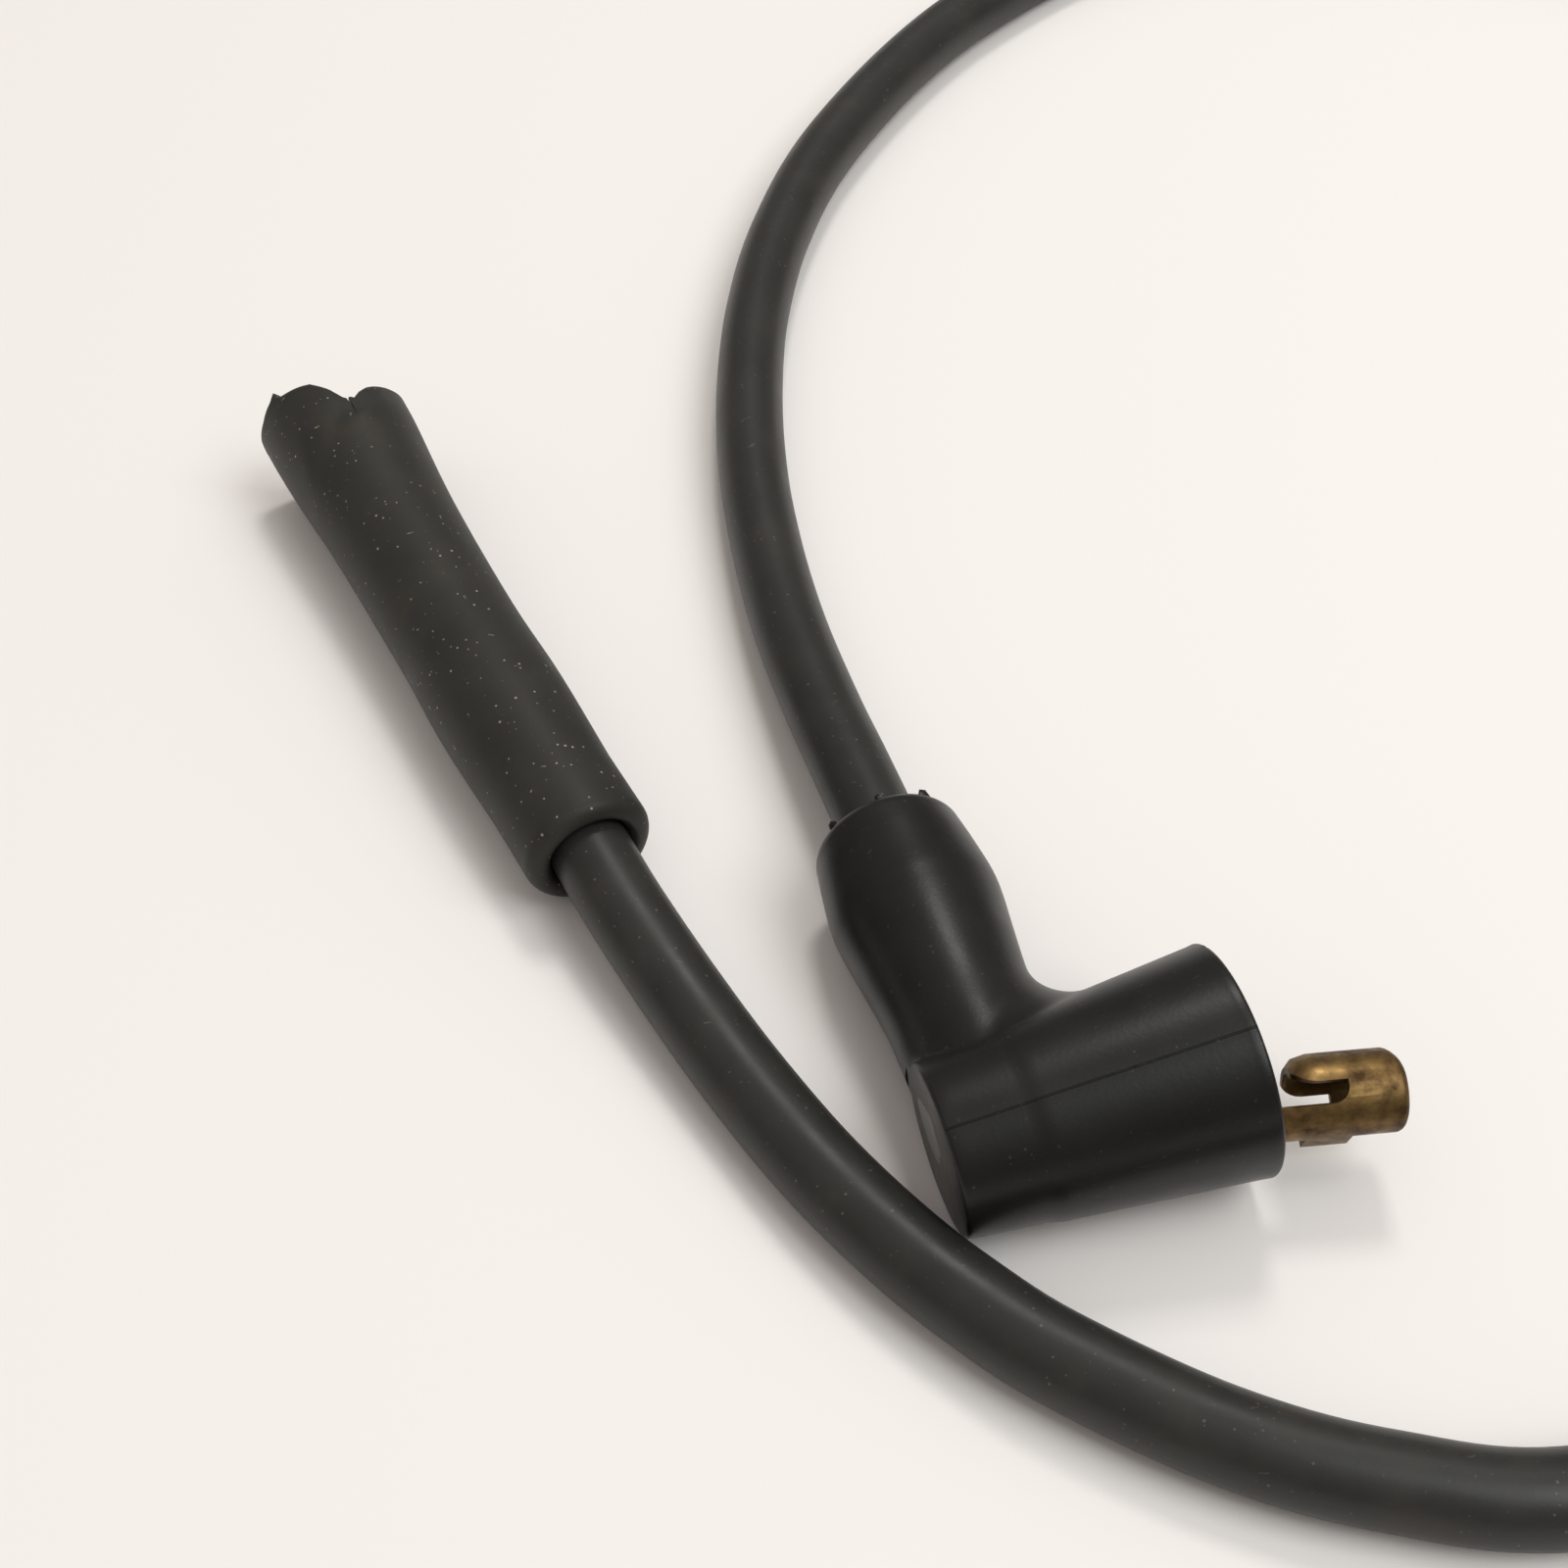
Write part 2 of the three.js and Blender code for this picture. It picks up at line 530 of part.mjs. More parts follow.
// The ear: a flat tab that leaves the strip's curve and hangs beside the ring.
function ear(ringStart) {
  const middle = RING_R - SHEET / 2;
  const turn = deg(EAR_FROM);
  const foot = around(turn, middle);
  const path = [0, EAR_WIDTH].map((far) => [foot[0] - far * Math.sin(turn), foot[1] - far * Math.cos(turn)]);
  return strip(path, ringStart - EAR_LENGTH, ringStart + SHEET).applyMatrix4(fromSection);
}

// Distributor terminal, in the boot's frame: crimps up the stem, and the strip bent over to the ring.
function elbowTerminal() {
  // Its crimps are made along +X and then turned to run down the stem, floor towards the heel.
  const toStem = new THREE.Matrix4().set(
    0, 1, 0, 0,
    -1, 0, 0, ELBOW_CRIMP_AT + JACKET_CRIMP,
    0, 0, 1, 0,
    0, 0, 0, 1,
  );
  const opening = deg(TERMINAL_OPENING);
  const way = [Math.cos(opening), -Math.sin(opening)];
  const side = [Math.sin(opening), Math.cos(opening)];
  const onAxis = (along, off) => [
    TERMINAL_PIVOT[0] + way[0] * along + side[0] * off,
    TERMINAL_PIVOT[1] + way[1] * along + side[1] * off,
  ];
  const stripOff = -(RING_R - SHEET / 2);
  const down = neckPath(0).map(([x, y]) => [y, ELBOW_CRIMP_AT + JACKET_CRIMP - x]);
  // The bend is an arc that is tangent to the neck and to the strip.
  const bendR = BEND_INSIDE_R + SHEET / 2;
  const centreX = coreFloor + bendR;
  const level = onAxis(0, stripOff + bendR);
  const centreY = level[1] + ((centreX - level[0]) * way[1]) / way[0];
  const bend = arc([centreX, centreY], bendR, 180, 270 - TERMINAL_OPENING, 8);
  const ringStart = RING_END - RING_LENGTH;
  const narrow = [...down, ...bend, onAxis(STRIP_WIDE_AT + STRIP_LAP, stripOff)];
  const toAxis = new THREE.Matrix4().set(
    way[0], side[0], 0, TERMINAL_PIVOT[0],
    way[1], side[1], 0, TERMINAL_PIVOT[1],
    0, 0, 1, 0,
    0, 0, 0, 1,
  );
  const nose = [
    [ringStart, RING_R - SHEET],
    [ringStart, RING_R],
    ...arc([RING_END - RING_NOSE, RING_R - RING_NOSE], RING_NOSE, 90, 20, 4),
    [RING_END, RING_R - SHEET - RING_NOSE / 2],
    [RING_END - RING_NOSE, RING_R - SHEET],
  ];
  const ring = tube(nose, RING_SIDES).rotateZ(-Math.PI / 2);
  const place = ring.attributes.position;
  for (let i = 0; i < place.count; i += 1) {
    const share = (place.getX(i) - ringStart) / RING_LENGTH;
    const toDent = around(deg(RING_DENT_TURN), 1 / Math.hypot(place.getY(i), place.getZ(i)));
    const facing = Math.max(place.getY(i) * toDent[0] + place.getZ(i) * toDent[1], 0);
    place.setX(i, place.getX(i) - RING_DENT * share * facing ** 4);
  }
  const onRing = [...wideStrip(ringStart), ear(ringStart), ring, tongue(ringStart)];
  const parts = [
    ...crimps(0).map((geometry) => geometry.applyMatrix4(toStem)),
    strip(narrow, -NECK_HALF, NECK_HALF),
    ...onRing.map((geometry) => geometry.applyMatrix4(toAxis)),
  ];
  return join(parts).transform(new THREE.Matrix4().makeRotationY(deg(TERMINAL_SWING)).toArray());
}

// Places. Each boot rests on the table along its own taper.
const plugTilt = Math.asin((PLUG_MOUTH_R - PLUG_LEAD_END_R) / (PLUG_BOOT_LENGTH - PLUG_SHOULDER));
const plugPlace = new THREE.Matrix4()
  .makeTranslation(PLUG_BOOT_AT[0], PLUG_BOOT_AT[1], PLUG_LEAD_END_R + TABLE_CLEAR)
  .multiply(new THREE.Matrix4().makeRotationZ(deg(PLUG_BOOT_HEADING)))
  .multiply(new THREE.Matrix4().makeRotationY(-plugTilt));
const barrelTilt = Math.atan(slope);
const elbowPlace = new THREE.Matrix4()
  .makeTranslation(ELBOW_AT[0], ELBOW_AT[1], barrelR(0) / Math.cos(barrelTilt) + TABLE_CLEAR)
  .multiply(new THREE.Matrix4().makeRotationY(-barrelTilt))
  .multiply(new THREE.Matrix4().makeRotationX(-deg(STEM_DIP)));

// The lead runs straight in each boot and follows the route between them.
const plugEnd = PLUG_CRIMP_AT + JACKET_CRIMP + JACKET_INSIDE_CRIMP;
const elbowEnd = ELBOW_CRIMP_AT - JACKET_INSIDE_CRIMP;
const inPlug = (x) => new THREE.Vector3(x, 0, 0).applyMatrix4(plugPlace);
const inStem = (y) => new THREE.Vector3(0, y, 0).applyMatrix4(elbowPlace);
const spine = new THREE.CatmullRomCurve3([
  inPlug(plugEnd),
  inPlug(plugEnd / 2),
  inPlug(0),
  ...ROUTE.map((point) => new THREE.Vector3(...point)),
  inStem(STEM_LIP),
  inStem((STEM_LIP + elbowEnd) / 2),
  inStem(elbowEnd),
]);

function circle(radius, sides, Kind = THREE.Shape) {
  const points = Array.from({ length: sides }, (_, i) => {
    const a = (2 * Math.PI * i) / sides;
    return new THREE.Vector2(radius * Math.cos(a), radius * Math.sin(a));
  });
  return new Kind(points);
}

function alongLead(shape) {
  return new THREE.ExtrudeGeometry(shape, { steps: LEAD_STEPS, extrudePath: spine, bevelEnabled: false });
}

function jacket() {
  const shape = circle(JACKET_R, JACKET_SIDES);
  shape.holes.push(circle(CORE_R + FIT, CORE_SIDES, THREE.Path));
  return solid(alongLead(shape));
}

// The core runs through the jacket and stands out bare at both ends.
function core() {
  const tailR = CORE_R - TAIL_PRESS;
  const tail = (place, from, to) => new THREE.CylinderGeometry(tailR, tailR, to - from, 2 * CORE_SIDES)
    .translate(0, (from + to) / 2, 0)
    .applyMatrix4(place);
  const turn = new THREE.Matrix4().makeRotationZ(-Math.PI / 2);
  return join([
    alongLead(circle(CORE_R, CORE_SIDES)),
    tail(plugPlace.clone().multiply(turn), plugEnd - TAIL_LAP, plugEnd + TAIL_OUT),
    tail(elbowPlace, elbowEnd - TAIL_OUT, elbowEnd + TAIL_LAP),
  ]);
}

const rubber = { color: 0x1b1c1b, roughness: 0.55, metalness: 0 };
const jacketRubber = { color: 0x202122, roughness: 0.5, metalness: 0 };
const agedBrass = { color: 0x7d6334, roughness: 0.42, metalness: 0.9 };
const carbonCord = { color: 0x151515, roughness: 0.8, metalness: 0 };

function mesh(name, body, finish) {
  const made = new THREE.Mesh(geometryOf(body), new THREE.MeshStandardMaterial(finish));
  made.name = name;
  return made;
}

const plugGroup = new THREE.Group();
plugGroup.applyMatrix4(plugPlace);
plugGroup.add(mesh("plug_boot", plugBoot(), rubber));
plugGroup.add(mesh("plug_terminal", plugTerminal(), agedBrass));

const elbowGroup = new THREE.Group();
elbowGroup.applyMatrix4(elbowPlace);
elbowGroup.add(mesh("distributor_boot", elbowBoot(), rubber));
elbowGroup.add(mesh("distributor_terminal", elbowTerminal(), agedBrass));

const group = new THREE.Group();
group.add(plugGroup, elbowGroup);
group.add(mesh("lead_jacket", jacket(), jacketRubber));
group.add(mesh("lead_core", core(), carbonCord));

export default group;
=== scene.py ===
"""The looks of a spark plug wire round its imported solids, laid out as an add-on.

Lengths are in metres. The table is z = 0, and +X is the way that the right angled boot's mouth points.
"""

import math

import bmesh
import bpy
import numpy as np
from bpy.props import FloatProperty, FloatVectorProperty, IntProperty, PointerProperty
from mathutils import Matrix, Vector


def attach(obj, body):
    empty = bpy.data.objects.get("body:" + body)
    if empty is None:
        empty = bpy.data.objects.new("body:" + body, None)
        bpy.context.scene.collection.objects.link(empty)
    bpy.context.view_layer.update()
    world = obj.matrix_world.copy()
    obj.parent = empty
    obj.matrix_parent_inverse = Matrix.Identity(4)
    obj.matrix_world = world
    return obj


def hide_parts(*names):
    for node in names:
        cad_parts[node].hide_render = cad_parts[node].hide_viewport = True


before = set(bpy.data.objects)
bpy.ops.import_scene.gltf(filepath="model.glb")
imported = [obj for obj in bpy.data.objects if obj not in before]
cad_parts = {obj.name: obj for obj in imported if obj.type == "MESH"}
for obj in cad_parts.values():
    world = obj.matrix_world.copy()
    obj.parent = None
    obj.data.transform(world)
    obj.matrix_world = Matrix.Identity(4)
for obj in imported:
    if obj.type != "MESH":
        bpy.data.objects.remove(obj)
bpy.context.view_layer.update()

bl_info = {
    "name": "Spark Plug Wire",
    "version": (1, 0, 0),
    "blender": (4, 5, 0),
    "location": "View3D > Sidebar > Spark Plug Wire",
    "description": "Ignition lead with a straight plug boot and a right angled distributor boot",
    "category": "Add Mesh",
}

MM = 0.001

# The route that the lead's middle follows between the boots, in millimetres. The solids' source has the same.
ROUTE = [
    (-15.5, -14.4, 5.4), (-13.1, -23.1, 4.35), (-10.4, -32.1, 3.7), (-7.1, -41.6, 3.6), (-3.3, -49.8, 3.6),
    (0.3, -55.8, 3.6), (4.9, -61.9, 3.6), (13.9, -70.7, 3.6), (23.4, -77.0, 3.6), (35.5, -81.8, 3.6),
    (58.1, -83.3, 3.6), (81.3, -75.5, 3.6), (102.7, -60.1, 3.6), (122.7, -37.7, 3.6), (138.2, -13.2, 3.6),
    (150.6, 14.5, 3.6), (159.0, 45.3, 3.6), (161.4, 74.0, 3.6), (156.8, 98.2, 3.6), (145.6, 117.1, 3.6),
    (128.5, 130.0, 3.6), (107.2, 134.7, 3.6), (85.0, 130.8, 3.6), (65.5, 120.8, 3.6), (50.3, 109.0, 3.6),
    (35.3, 93.2, 3.6), (25.4, 78.6, 3.6), (18.6, 64.7, 3.6), (14.0, 51.7, 3.6), (10.8, 39.2, 3.6),
    (8.8, 27.3, 3.7), (7.6, 15.5, 4.25), (7.2, 3.8, 5.1), (7.2, -4.7, 5.9),
]

# The plug boot's torn mouth: degrees round from the top, and millimetres past the boot's nominal length.
TEAR = [
    (0, -2.9), (3, -3.6), (7, -3.5), (10, -3.9), (16, -3.2), (24, -2.6), (37, -2.0), (52, -1.4), (68, -0.7),
    (90, -0.2), (115, 0.4), (140, -0.5), (165, 0.8), (190, 0.2), (215, 1.4), (240, 2.0), (267, 2.9),
    (288, 2.2), (307, 2.3), (314, 2.7), (318, 1.4), (327, 0.9), (344, 0.0), (355, -1.7), (360, -2.9),
]


def length(name, description, default):
    """A length, whose default is in millimetres."""
    return FloatProperty(name=name, description=description, default=default * MM, unit="LENGTH", precision=5)


def colour(name, description, default):
    """A colour, whose default is linear."""
    return FloatVectorProperty(
        name=name, description=description, default=default, size=3, min=0, max=1, subtype="COLOR"
    )


def share(name, description, default):
    """A number from 0 to 1."""
    return FloatProperty(name=name, description=description, default=default, min=0, max=1, subtype="FACTOR")


def amount(name, description, default):
    """A number that isn't below 0."""
    return FloatProperty(name=name, description=description, default=default, min=0)


class LeadSettings(bpy.types.PropertyGroup):
    """Sizes of the lead."""

    jacket_r: length("Jacket radius", "Outer radius of the lead's jacket", 3.5)
    sides: IntProperty(name="Sides", description="Faces round the jacket", default=48, min=12, max=96)
    step: length("Step", "Distance between the jacket's rings", 1.3)
    colour: colour("Jacket colour", "Colour of the lead's jacket", (0.025, 0.0247, 0.022))
    gloss: share("Jacket gloss", "How strongly the jacket reflects", 0.32)
    roughness: share("Jacket roughness", "How dull the jacket is", 0.4)


class PlugBootSettings(bpy.types.PropertyGroup):
    """Sizes of the straight boot, measured from its lead end towards its mouth."""

    length: length("Length", "Nominal length of the boot", 61.8)
    end_r: length("Lead end radius", "Outer radius at the lead end", 5.8)
    shoulder: length("Shoulder", "Rounding at the lead end", 1.5)
    swell_r: length("Swelling radius", "Outer radius over the crimp", 6.15)
    waist_r: length("Waist radius", "Outer radius at the waist", 6.0)
    flare_r: length("Flare radius", "Outer radius where the flare starts", 6.35)
    mouth_r: length("Mouth radius", "Outer radius at the mouth", 7.25)
    socket_r: length("Socket radius", "Bore for the plug's insulator", 5.2)
    bore_r: length("Lead bore", "Bore at the lead end, close round the jacket", 3.53)
    bow: length("Bow", "Sideways bow of the outside", 0.35)
    split_width: length("Split width", "Width of the split at the torn edge", 0.3)
    split_length: length("Split length", "How far the split runs in from the torn edge", 3.0)
    sides: IntProperty(name="Sides", description="Faces round the boot", default=180, min=24, max=360)


class ElbowBootSettings(bpy.types.PropertyGroup):
    """Sizes of the right angled boot, measured from its corner."""

    heel: length("Heel", "From the corner back to the flat heel", 5.9)
    heel_r: length("Heel radius", "Outer radius at the heel", 7.0)
    mouth: length("Mouth", "From the corner to the mouth", 18.1)
    mouth_r: length("Mouth radius", "Outer radius at the mouth", 9.3)
    wall: length("Wall", "Wall round the tower socket", 1.7)
    lip: length("Lip", "From the corner to the stem's lip", 30.7)
    lip_r: length("Lip radius", "Outer radius at the stem's lip", 6.5)
    crotch: length("Crotch fillet", "Fillet radius between the stem and the barrel", 5.2)
    heel_step: length("Heel step", "How much slimmer the heel is than the rest of the barrel", 0.14)
    heel_end: length("Heel end", "From the corner to where the slimmer heel ends", 1.0)
    bore_r: length("Lead bore", "Bore at the stem's lip, close round the jacket", 3.53)


class RubberSettings(bpy.types.PropertyGroup):
    """Colours of the boots."""

    plug_colour: colour("Plug boot colour", "Colour of the straight boot's rubber", (0.03, 0.0292, 0.025))
    plug_roughness: share("Plug boot roughness", "How dull the straight boot is", 0.5)
    elbow_colour: colour("Elbow colour", "Colour of the right angled boot's rubber", (0.0088, 0.0088, 0.0079))
    elbow_roughness: share("Elbow roughness", "How dull the right angled boot is", 0.34)
    dust: colour("Dust colour", "Colour of the dust and fibres on the rubber", (0.34, 0.29, 0.22))
    gloss: share("Gloss", "How strongly the straight boot reflects", 0.22)
    elbow_gloss: share("Elbow gloss", "How strongly the right angled boot reflects", 0.3)
    # Colour of the painted reflection of the paper on the heel's flat rear face.
    reflection_tint: colour("Painted reflection", "Colour of the painted reflection of the paper on the heel's rear face", (0.2, 0.195, 0.185))


class BrassSettings(bpy.types.PropertyGroup):
    """Colours of the terminals."""

    bright: colour("Bright brass", "Colour of rubbed brass", (0.29, 0.178, 0.062))
    dull: colour("Dull brass", "Colour of tarnished brass", (0.052, 0.027, 0.008))
    roughness: share("Roughness", "How dull the brass is", 0.4)


class StageSettings(bpy.types.PropertyGroup):
    """Table, light and camera."""

    paper: colour("Paper", "Colour of the table", (0.92, 0.885, 0.855))
    window_power: amount("Window", "Power of the window in watts", 3.2)
    panel_power: amount("Panel", "Power of the large panel in watts", 6.8)
    overhead: amount("Overhead", "Strength of light from above", 0.7)
    around: amount("Around", "Strength of the light from the sides", 0.04)
    lens: FloatProperty(
        name="Lens", description="Focal length on a 36 mm sensor", default=50.65, unit="CAMERA"
    )


# Places of the boots, from the solids' source.
PLUG_AT = (-16.82, -8.10)
PLUG_HEADING = 101.3
ELBOW_AT = (7.11, -44.92)
STEM_DIP = 2.0

# Where the jacket ends inside the boots, in millimetres from the plug boot's lead end and from the right
# angled boot's corner.
PLUG_END = 28.8
STEM_END = 10.6

# Bores that both boots share: round the crimp, and round the jacket where the boot lies loosely on it.
CRIMP_BORE = 4.85 * MM
LOOSE_BORE = 3.8 * MM

# How much dust lies on each piece of rubber.
JACKET_DUST = 0.2
PLUG_DUST = 0.9
ELBOW_DUST = 0.08


def plug_place(boot):
    """The plug boot's own frame: X along it to the mouth, Z up."""
    tilt = math.asin((boot.mouth_r - boot.end_r) / (boot.length - boot.shoulder))
    return (
        Matrix.Translation((PLUG_AT[0] * MM, PLUG_AT[1] * MM, boot.end_r + 0.03 * MM))
        @ Matrix.Rotation(math.radians(PLUG_HEADING), 4, "Z")
        @ Matrix.Rotation(-tilt, 4, "Y")
    )


def barrel_slope(boot):
    """How much the right angled boot's barrel widens along its length."""
    return (boot.mouth_r - boot.heel_r) / (boot.mouth + boot.heel)


def elbow_place(boot):
    """The right angled boot's own frame: X along the barrel to the mouth, Y up the stem."""
    tilt = math.atan(barrel_slope(boot))
    height = (boot.heel_r + barrel_slope(boot) * boot.heel) / math.cos(tilt) + 0.02 * MM
    return (
        Matrix.Translation((ELBOW_AT[0] * MM, ELBOW_AT[1] * MM, height))
        @ Matrix.Rotation(-tilt, 4, "Y")
        @ Matrix.Rotation(-math.radians(STEM_DIP), 4, "X")
    )


def spline_through(points, per_span):
    """Points of a Catmull-Rom curve through the given ones."""
    pts = [Vector(p) for p in points]
    pts = [2 * pts[0] - pts[1]] + pts + [2 * pts[-1] - pts[-2]]
    out = []
    for a, b, c, d in zip(pts, pts[1:], pts[2:], pts[3:]):
        for i in range(per_span):
            t = i / per_span
            point = 2 * b + (c - a) * t + (2 * a - 5 * b + 4 * c - d) * t**2
            point += (3 * b - a - 3 * c + d) * t**3
            out.append(0.5 * point)
    return out + [pts[-2]]


def evenly(points, step):
    """The same line with points a step apart."""
    out = [points[0].copy()]
    left = step
    for a, b in zip(points, points[1:]):
        while (b - a).length > left:
            a = a + (b - a).normalized() * left
            out.append(a.copy())
            left = step
        left -= (b - a).length
    if (out[-1] - points[-1]).length > step * 0.3:
        out.append(points[-1].copy())
    return out


def new_object(name, bm, material, smooth=40):
    """A finished piece from its mesh, at the origin."""
    mesh = bpy.data.meshes.new(name)
    bm.to_mesh(mesh)
    bm.free()
    made = bpy.data.objects.new(name, mesh)
    bpy.context.scene.collection.objects.link(made)
    mesh.materials.append(material)
    for face in mesh.polygons:
        face.use_smooth = True
    mark_sharp(mesh, smooth)
    return made


def mark_sharp(mesh, angle):
    """Edges that turn more than the angle stay sharp."""
    bm = bmesh.new()
    bm.from_mesh(mesh)
    for edge in bm.edges:
        edge.smooth = len(edge.link_faces) == 2 and edge.calc_face_angle(0) < math.radians(angle)
    bm.to_mesh(mesh)
    bm.free()


def lathe(profile, sides, axis="X", closed=False):
    """A profile of (along, radius) points spun about an axis of the piece, its open ends filled flat."""
    bm = bmesh.new()
    verts = []
    for along, r in profile:
        verts.append(bm.verts.new((along, 0, r) if axis == "X" else (0, along, r)))
    pairs = list(zip(verts, verts[1:]))
    if closed:
        pairs.append((verts[-1], verts[0]))
    edges = [bm.edges.new(pair) for pair in pairs]
    bmesh.ops.spin(
        bm,
        geom=verts + edges,
        cent=(0, 0, 0),
        axis=(1, 0, 0) if axis == "X" else (0, 1, 0),
        angle=math.tau,
        steps=sides,
        use_merge=True,
    )
    bmesh.ops.remove_doubles(bm, verts=bm.verts, dist=1e-6)
    bmesh.ops.holes_fill(bm, edges=[edge for edge in bm.edges if edge.is_boundary])
    bmesh.ops.recalc_face_normals(bm, faces=bm.faces)
    return bm


def prism(outline, low, high):
    """An outline of (x, z) points carried along Y."""
    bm = bmesh.new()
    face = bm.faces.new([bm.verts.new((x, low, z)) for x, z in outline])
    grown = bmesh.ops.extrude_face_region(bm, geom=[face])
    moved = [part for part in grown["geom"] if isinstance(part, bmesh.types.BMVert)]
    bmesh.ops.translate(bm, vec=(0, high - low, 0), verts=moved)
    bmesh.ops.recalc_face_normals(bm, faces=bm.faces)
    return bm


def arc(cx, cr, radius, start, end, count):
    """Points of a rounding, angles in degrees."""
    turns = [math.radians(start + (end - start) * i / count) for i in range(count + 1)]
    return [(cx + radius * math.cos(a), cr + radius * math.sin(a)) for a in turns]


def smooth_line(stations, per_span):
    """A smooth profile through (along, radius) points."""
    return [(p.x, p.y) for p in spline_through([(x, r, 0) for x, r in stations], per_span)]


def smoothstep(value, low, high):
    """From 0 to 1 between two values, with no corner at either."""
    t = min(max((value - low) / (high - low), 0), 1)
    return t * t * (3 - 2 * t)


# Materials.
def fresh_material(name):
    """A new material with its tree and its shader."""
    made = bpy.data.materials.new(name)
    made.use_nodes = True
    tree = made.node_tree
    shader = tree.nodes["Principled BSDF"]
    return made, tree, shader


def node(tree, kind, **values):
    """A node with some of its inputs or settings given."""
    made = tree.nodes.new(kind)
    for key, value in values.items():
        if key in made.inputs:
            made.inputs[key].default_value = value
        else:
            setattr(made, key, value)
    return made


def ramp(tree, source, stops):
    """A value turned into a colour by stops of (position, colour)."""
    made = tree.nodes.new("ShaderNodeValToRGB")
    made.color_ramp.elements[0].position = stops[0][0]
    made.color_ramp.elements[0].color = (*stops[0][1], 1)
    made.color_ramp.elements[1].position = stops[-1][0]
    made.color_ramp.elements[1].color = (*stops[-1][1], 1)
    for position, tint in stops[1:-1]:
        made.color_ramp.elements.new(position).color = (*tint, 1)
    tree.links.new(source, made.inputs["Fac"])
    return made.outputs["Color"]


def mixed(tree, factor, first, second):
    """Two colours, each fixed or linked, mixed by a factor."""
    made = tree.nodes.new("ShaderNodeMix")
    made.data_type = "RGBA"
    tree.links.new(factor, made.inputs["Factor"])
    for socket, value in ((made.inputs[6], first), (made.inputs[7], second)):
        if isinstance(value, (tuple, list)):
            socket.default_value = (*value, 1)
        else:
            tree.links.new(value, socket)
    return made.outputs[2]


def grey(value):
    """A grey, as a ramp takes it."""
    return (value, value, value)


def linked(tree, kind, inputs, **values):
    """A node with some of its inputs linked by their number."""
    made = node(tree, kind, **values)
    for number, source in inputs.items():
        tree.links.new(source, made.inputs[number])
    return made


def stretch(tree, value, low, high, to_low=0.0, to_high=1.0):
    """A value carried from one range to another, held at both ends."""
    made = linked(tree, "ShaderNodeMapRange", {0: value})
    for name, number in (("From Min", low), ("From Max", high), ("To Min", to_low), ("To Max", to_high)):
        made.inputs[name].default_value = number
    return made.outputs["Result"]


def maths(tree, operation, value, constant):
    """A value and a constant through one Math node."""
    made = linked(tree, "ShaderNodeMath", {0: value}, operation=operation)
    made.inputs[1].default_value = constant
    return made.outputs["Value"]


def product(tree, first, second):
    """Two linked values multiplied."""
    return linked(tree, "ShaderNodeMath", {0: first, 1: second}, operation="MULTIPLY").outputs["Value"]


def either(tree, first, second):
    """The larger of two linked values."""
    return linked(tree, "ShaderNodeMath", {0: first, 1: second}, operation="MAXIMUM").outputs["Value"]


def placed(tree, coords, place):
    """Object coordinates turned into the frame of a place, in metres."""
    made = linked(tree, "ShaderNodeMapping", {0: coords}, vector_type="TEXTURE")
    made.inputs["Location"].default_value = place.to_translation()
    made.inputs["Rotation"].default_value = place.to_euler()
    apart = linked(tree, "ShaderNodeSeparateXYZ", {0: made.outputs["Vector"]})
    return apart.outputs


# Specks: the power that keeps most of them small, and the share of their size that their soft edge takes.
FEW_LARGE = 3
SOFT_EDGE = 0.35


def specks(tree, coords, scale, size, shift, turn=(0, 0, 0), thin=(1, 1, 1)):
    """Specks of many sizes, a few in each patch. Thin ones are short fibres."""
    moved = linked(tree, "ShaderNodeMapping", {0: coords})
    moved.inputs["Location"].default_value = (shift, shift * 0.7, shift * 1.3)
    moved.inputs["Rotation"].default_value = turn
    moved.inputs["Scale"].default_value = thin
    cells = linked(tree, "ShaderNodeTexVoronoi", {0: moved.outputs["Vector"]}, Scale=scale)
    pick = linked(tree, "ShaderNodeSeparateColor", {0: cells.outputs["Color"]})
    reach = maths(tree, "MULTIPLY", maths(tree, "POWER", pick.outputs["Red"], FEW_LARGE), size)
    over = linked(tree, "ShaderNodeMath", {0: reach, 1: cells.outputs["Distance"]}, operation="SUBTRACT")
    return stretch(tree, over.outputs["Value"], 0.0, size * SOFT_EDGE)


def dust_on(tree, coords):
    """Dust and short bent fibres, thicker in some patches than in others."""
    drift = linked(tree, "ShaderNodeTexNoise", {0: coords}, Scale=95, Detail=2)
    patches = stretch(tree, drift.outputs["Fac"], 0.3, 0.52)
    swirl = linked(tree, "ShaderNodeTexNoise", {0: coords}, Scale=900, Detail=1)
    push = node(tree, "ShaderNodeVectorMath", operation="SCALE")
    tree.links.new(swirl.outputs["Color"], push.inputs[0])
    push.inputs["Scale"].default_value = 0.9 * MM
    pushed = linked(tree, "ShaderNodeVectorMath", {0: coords, 1: push.outputs["Vector"]}, operation="ADD")
    bent = pushed.outputs["Vector"]
    layers = [
        specks(tree, coords, 1700, 0.25, 0.31),
        specks(tree, coords, 1100, 0.17, 1.7),
        specks(tree, bent, 900, 0.12, 0.9, turn=(0.5, 0.9, 0.3), thin=(0.13, 1.2, 1.2)),
        specks(tree, bent, 800, 0.11, 2.3, turn=(1.2, 0.1, 1.4), thin=(0.12, 1.2, 1.2)),
        specks(tree, bent, 850, 0.11, 3.1, turn=(0.3, 1.8, 2.2), thin=(0.13, 1.2, 1.2)),
    ]
    whole = layers[0]
    for layer in layers[1:]:
        whole = either(tree, whole, layer)
    return product(tree, whole, patches)


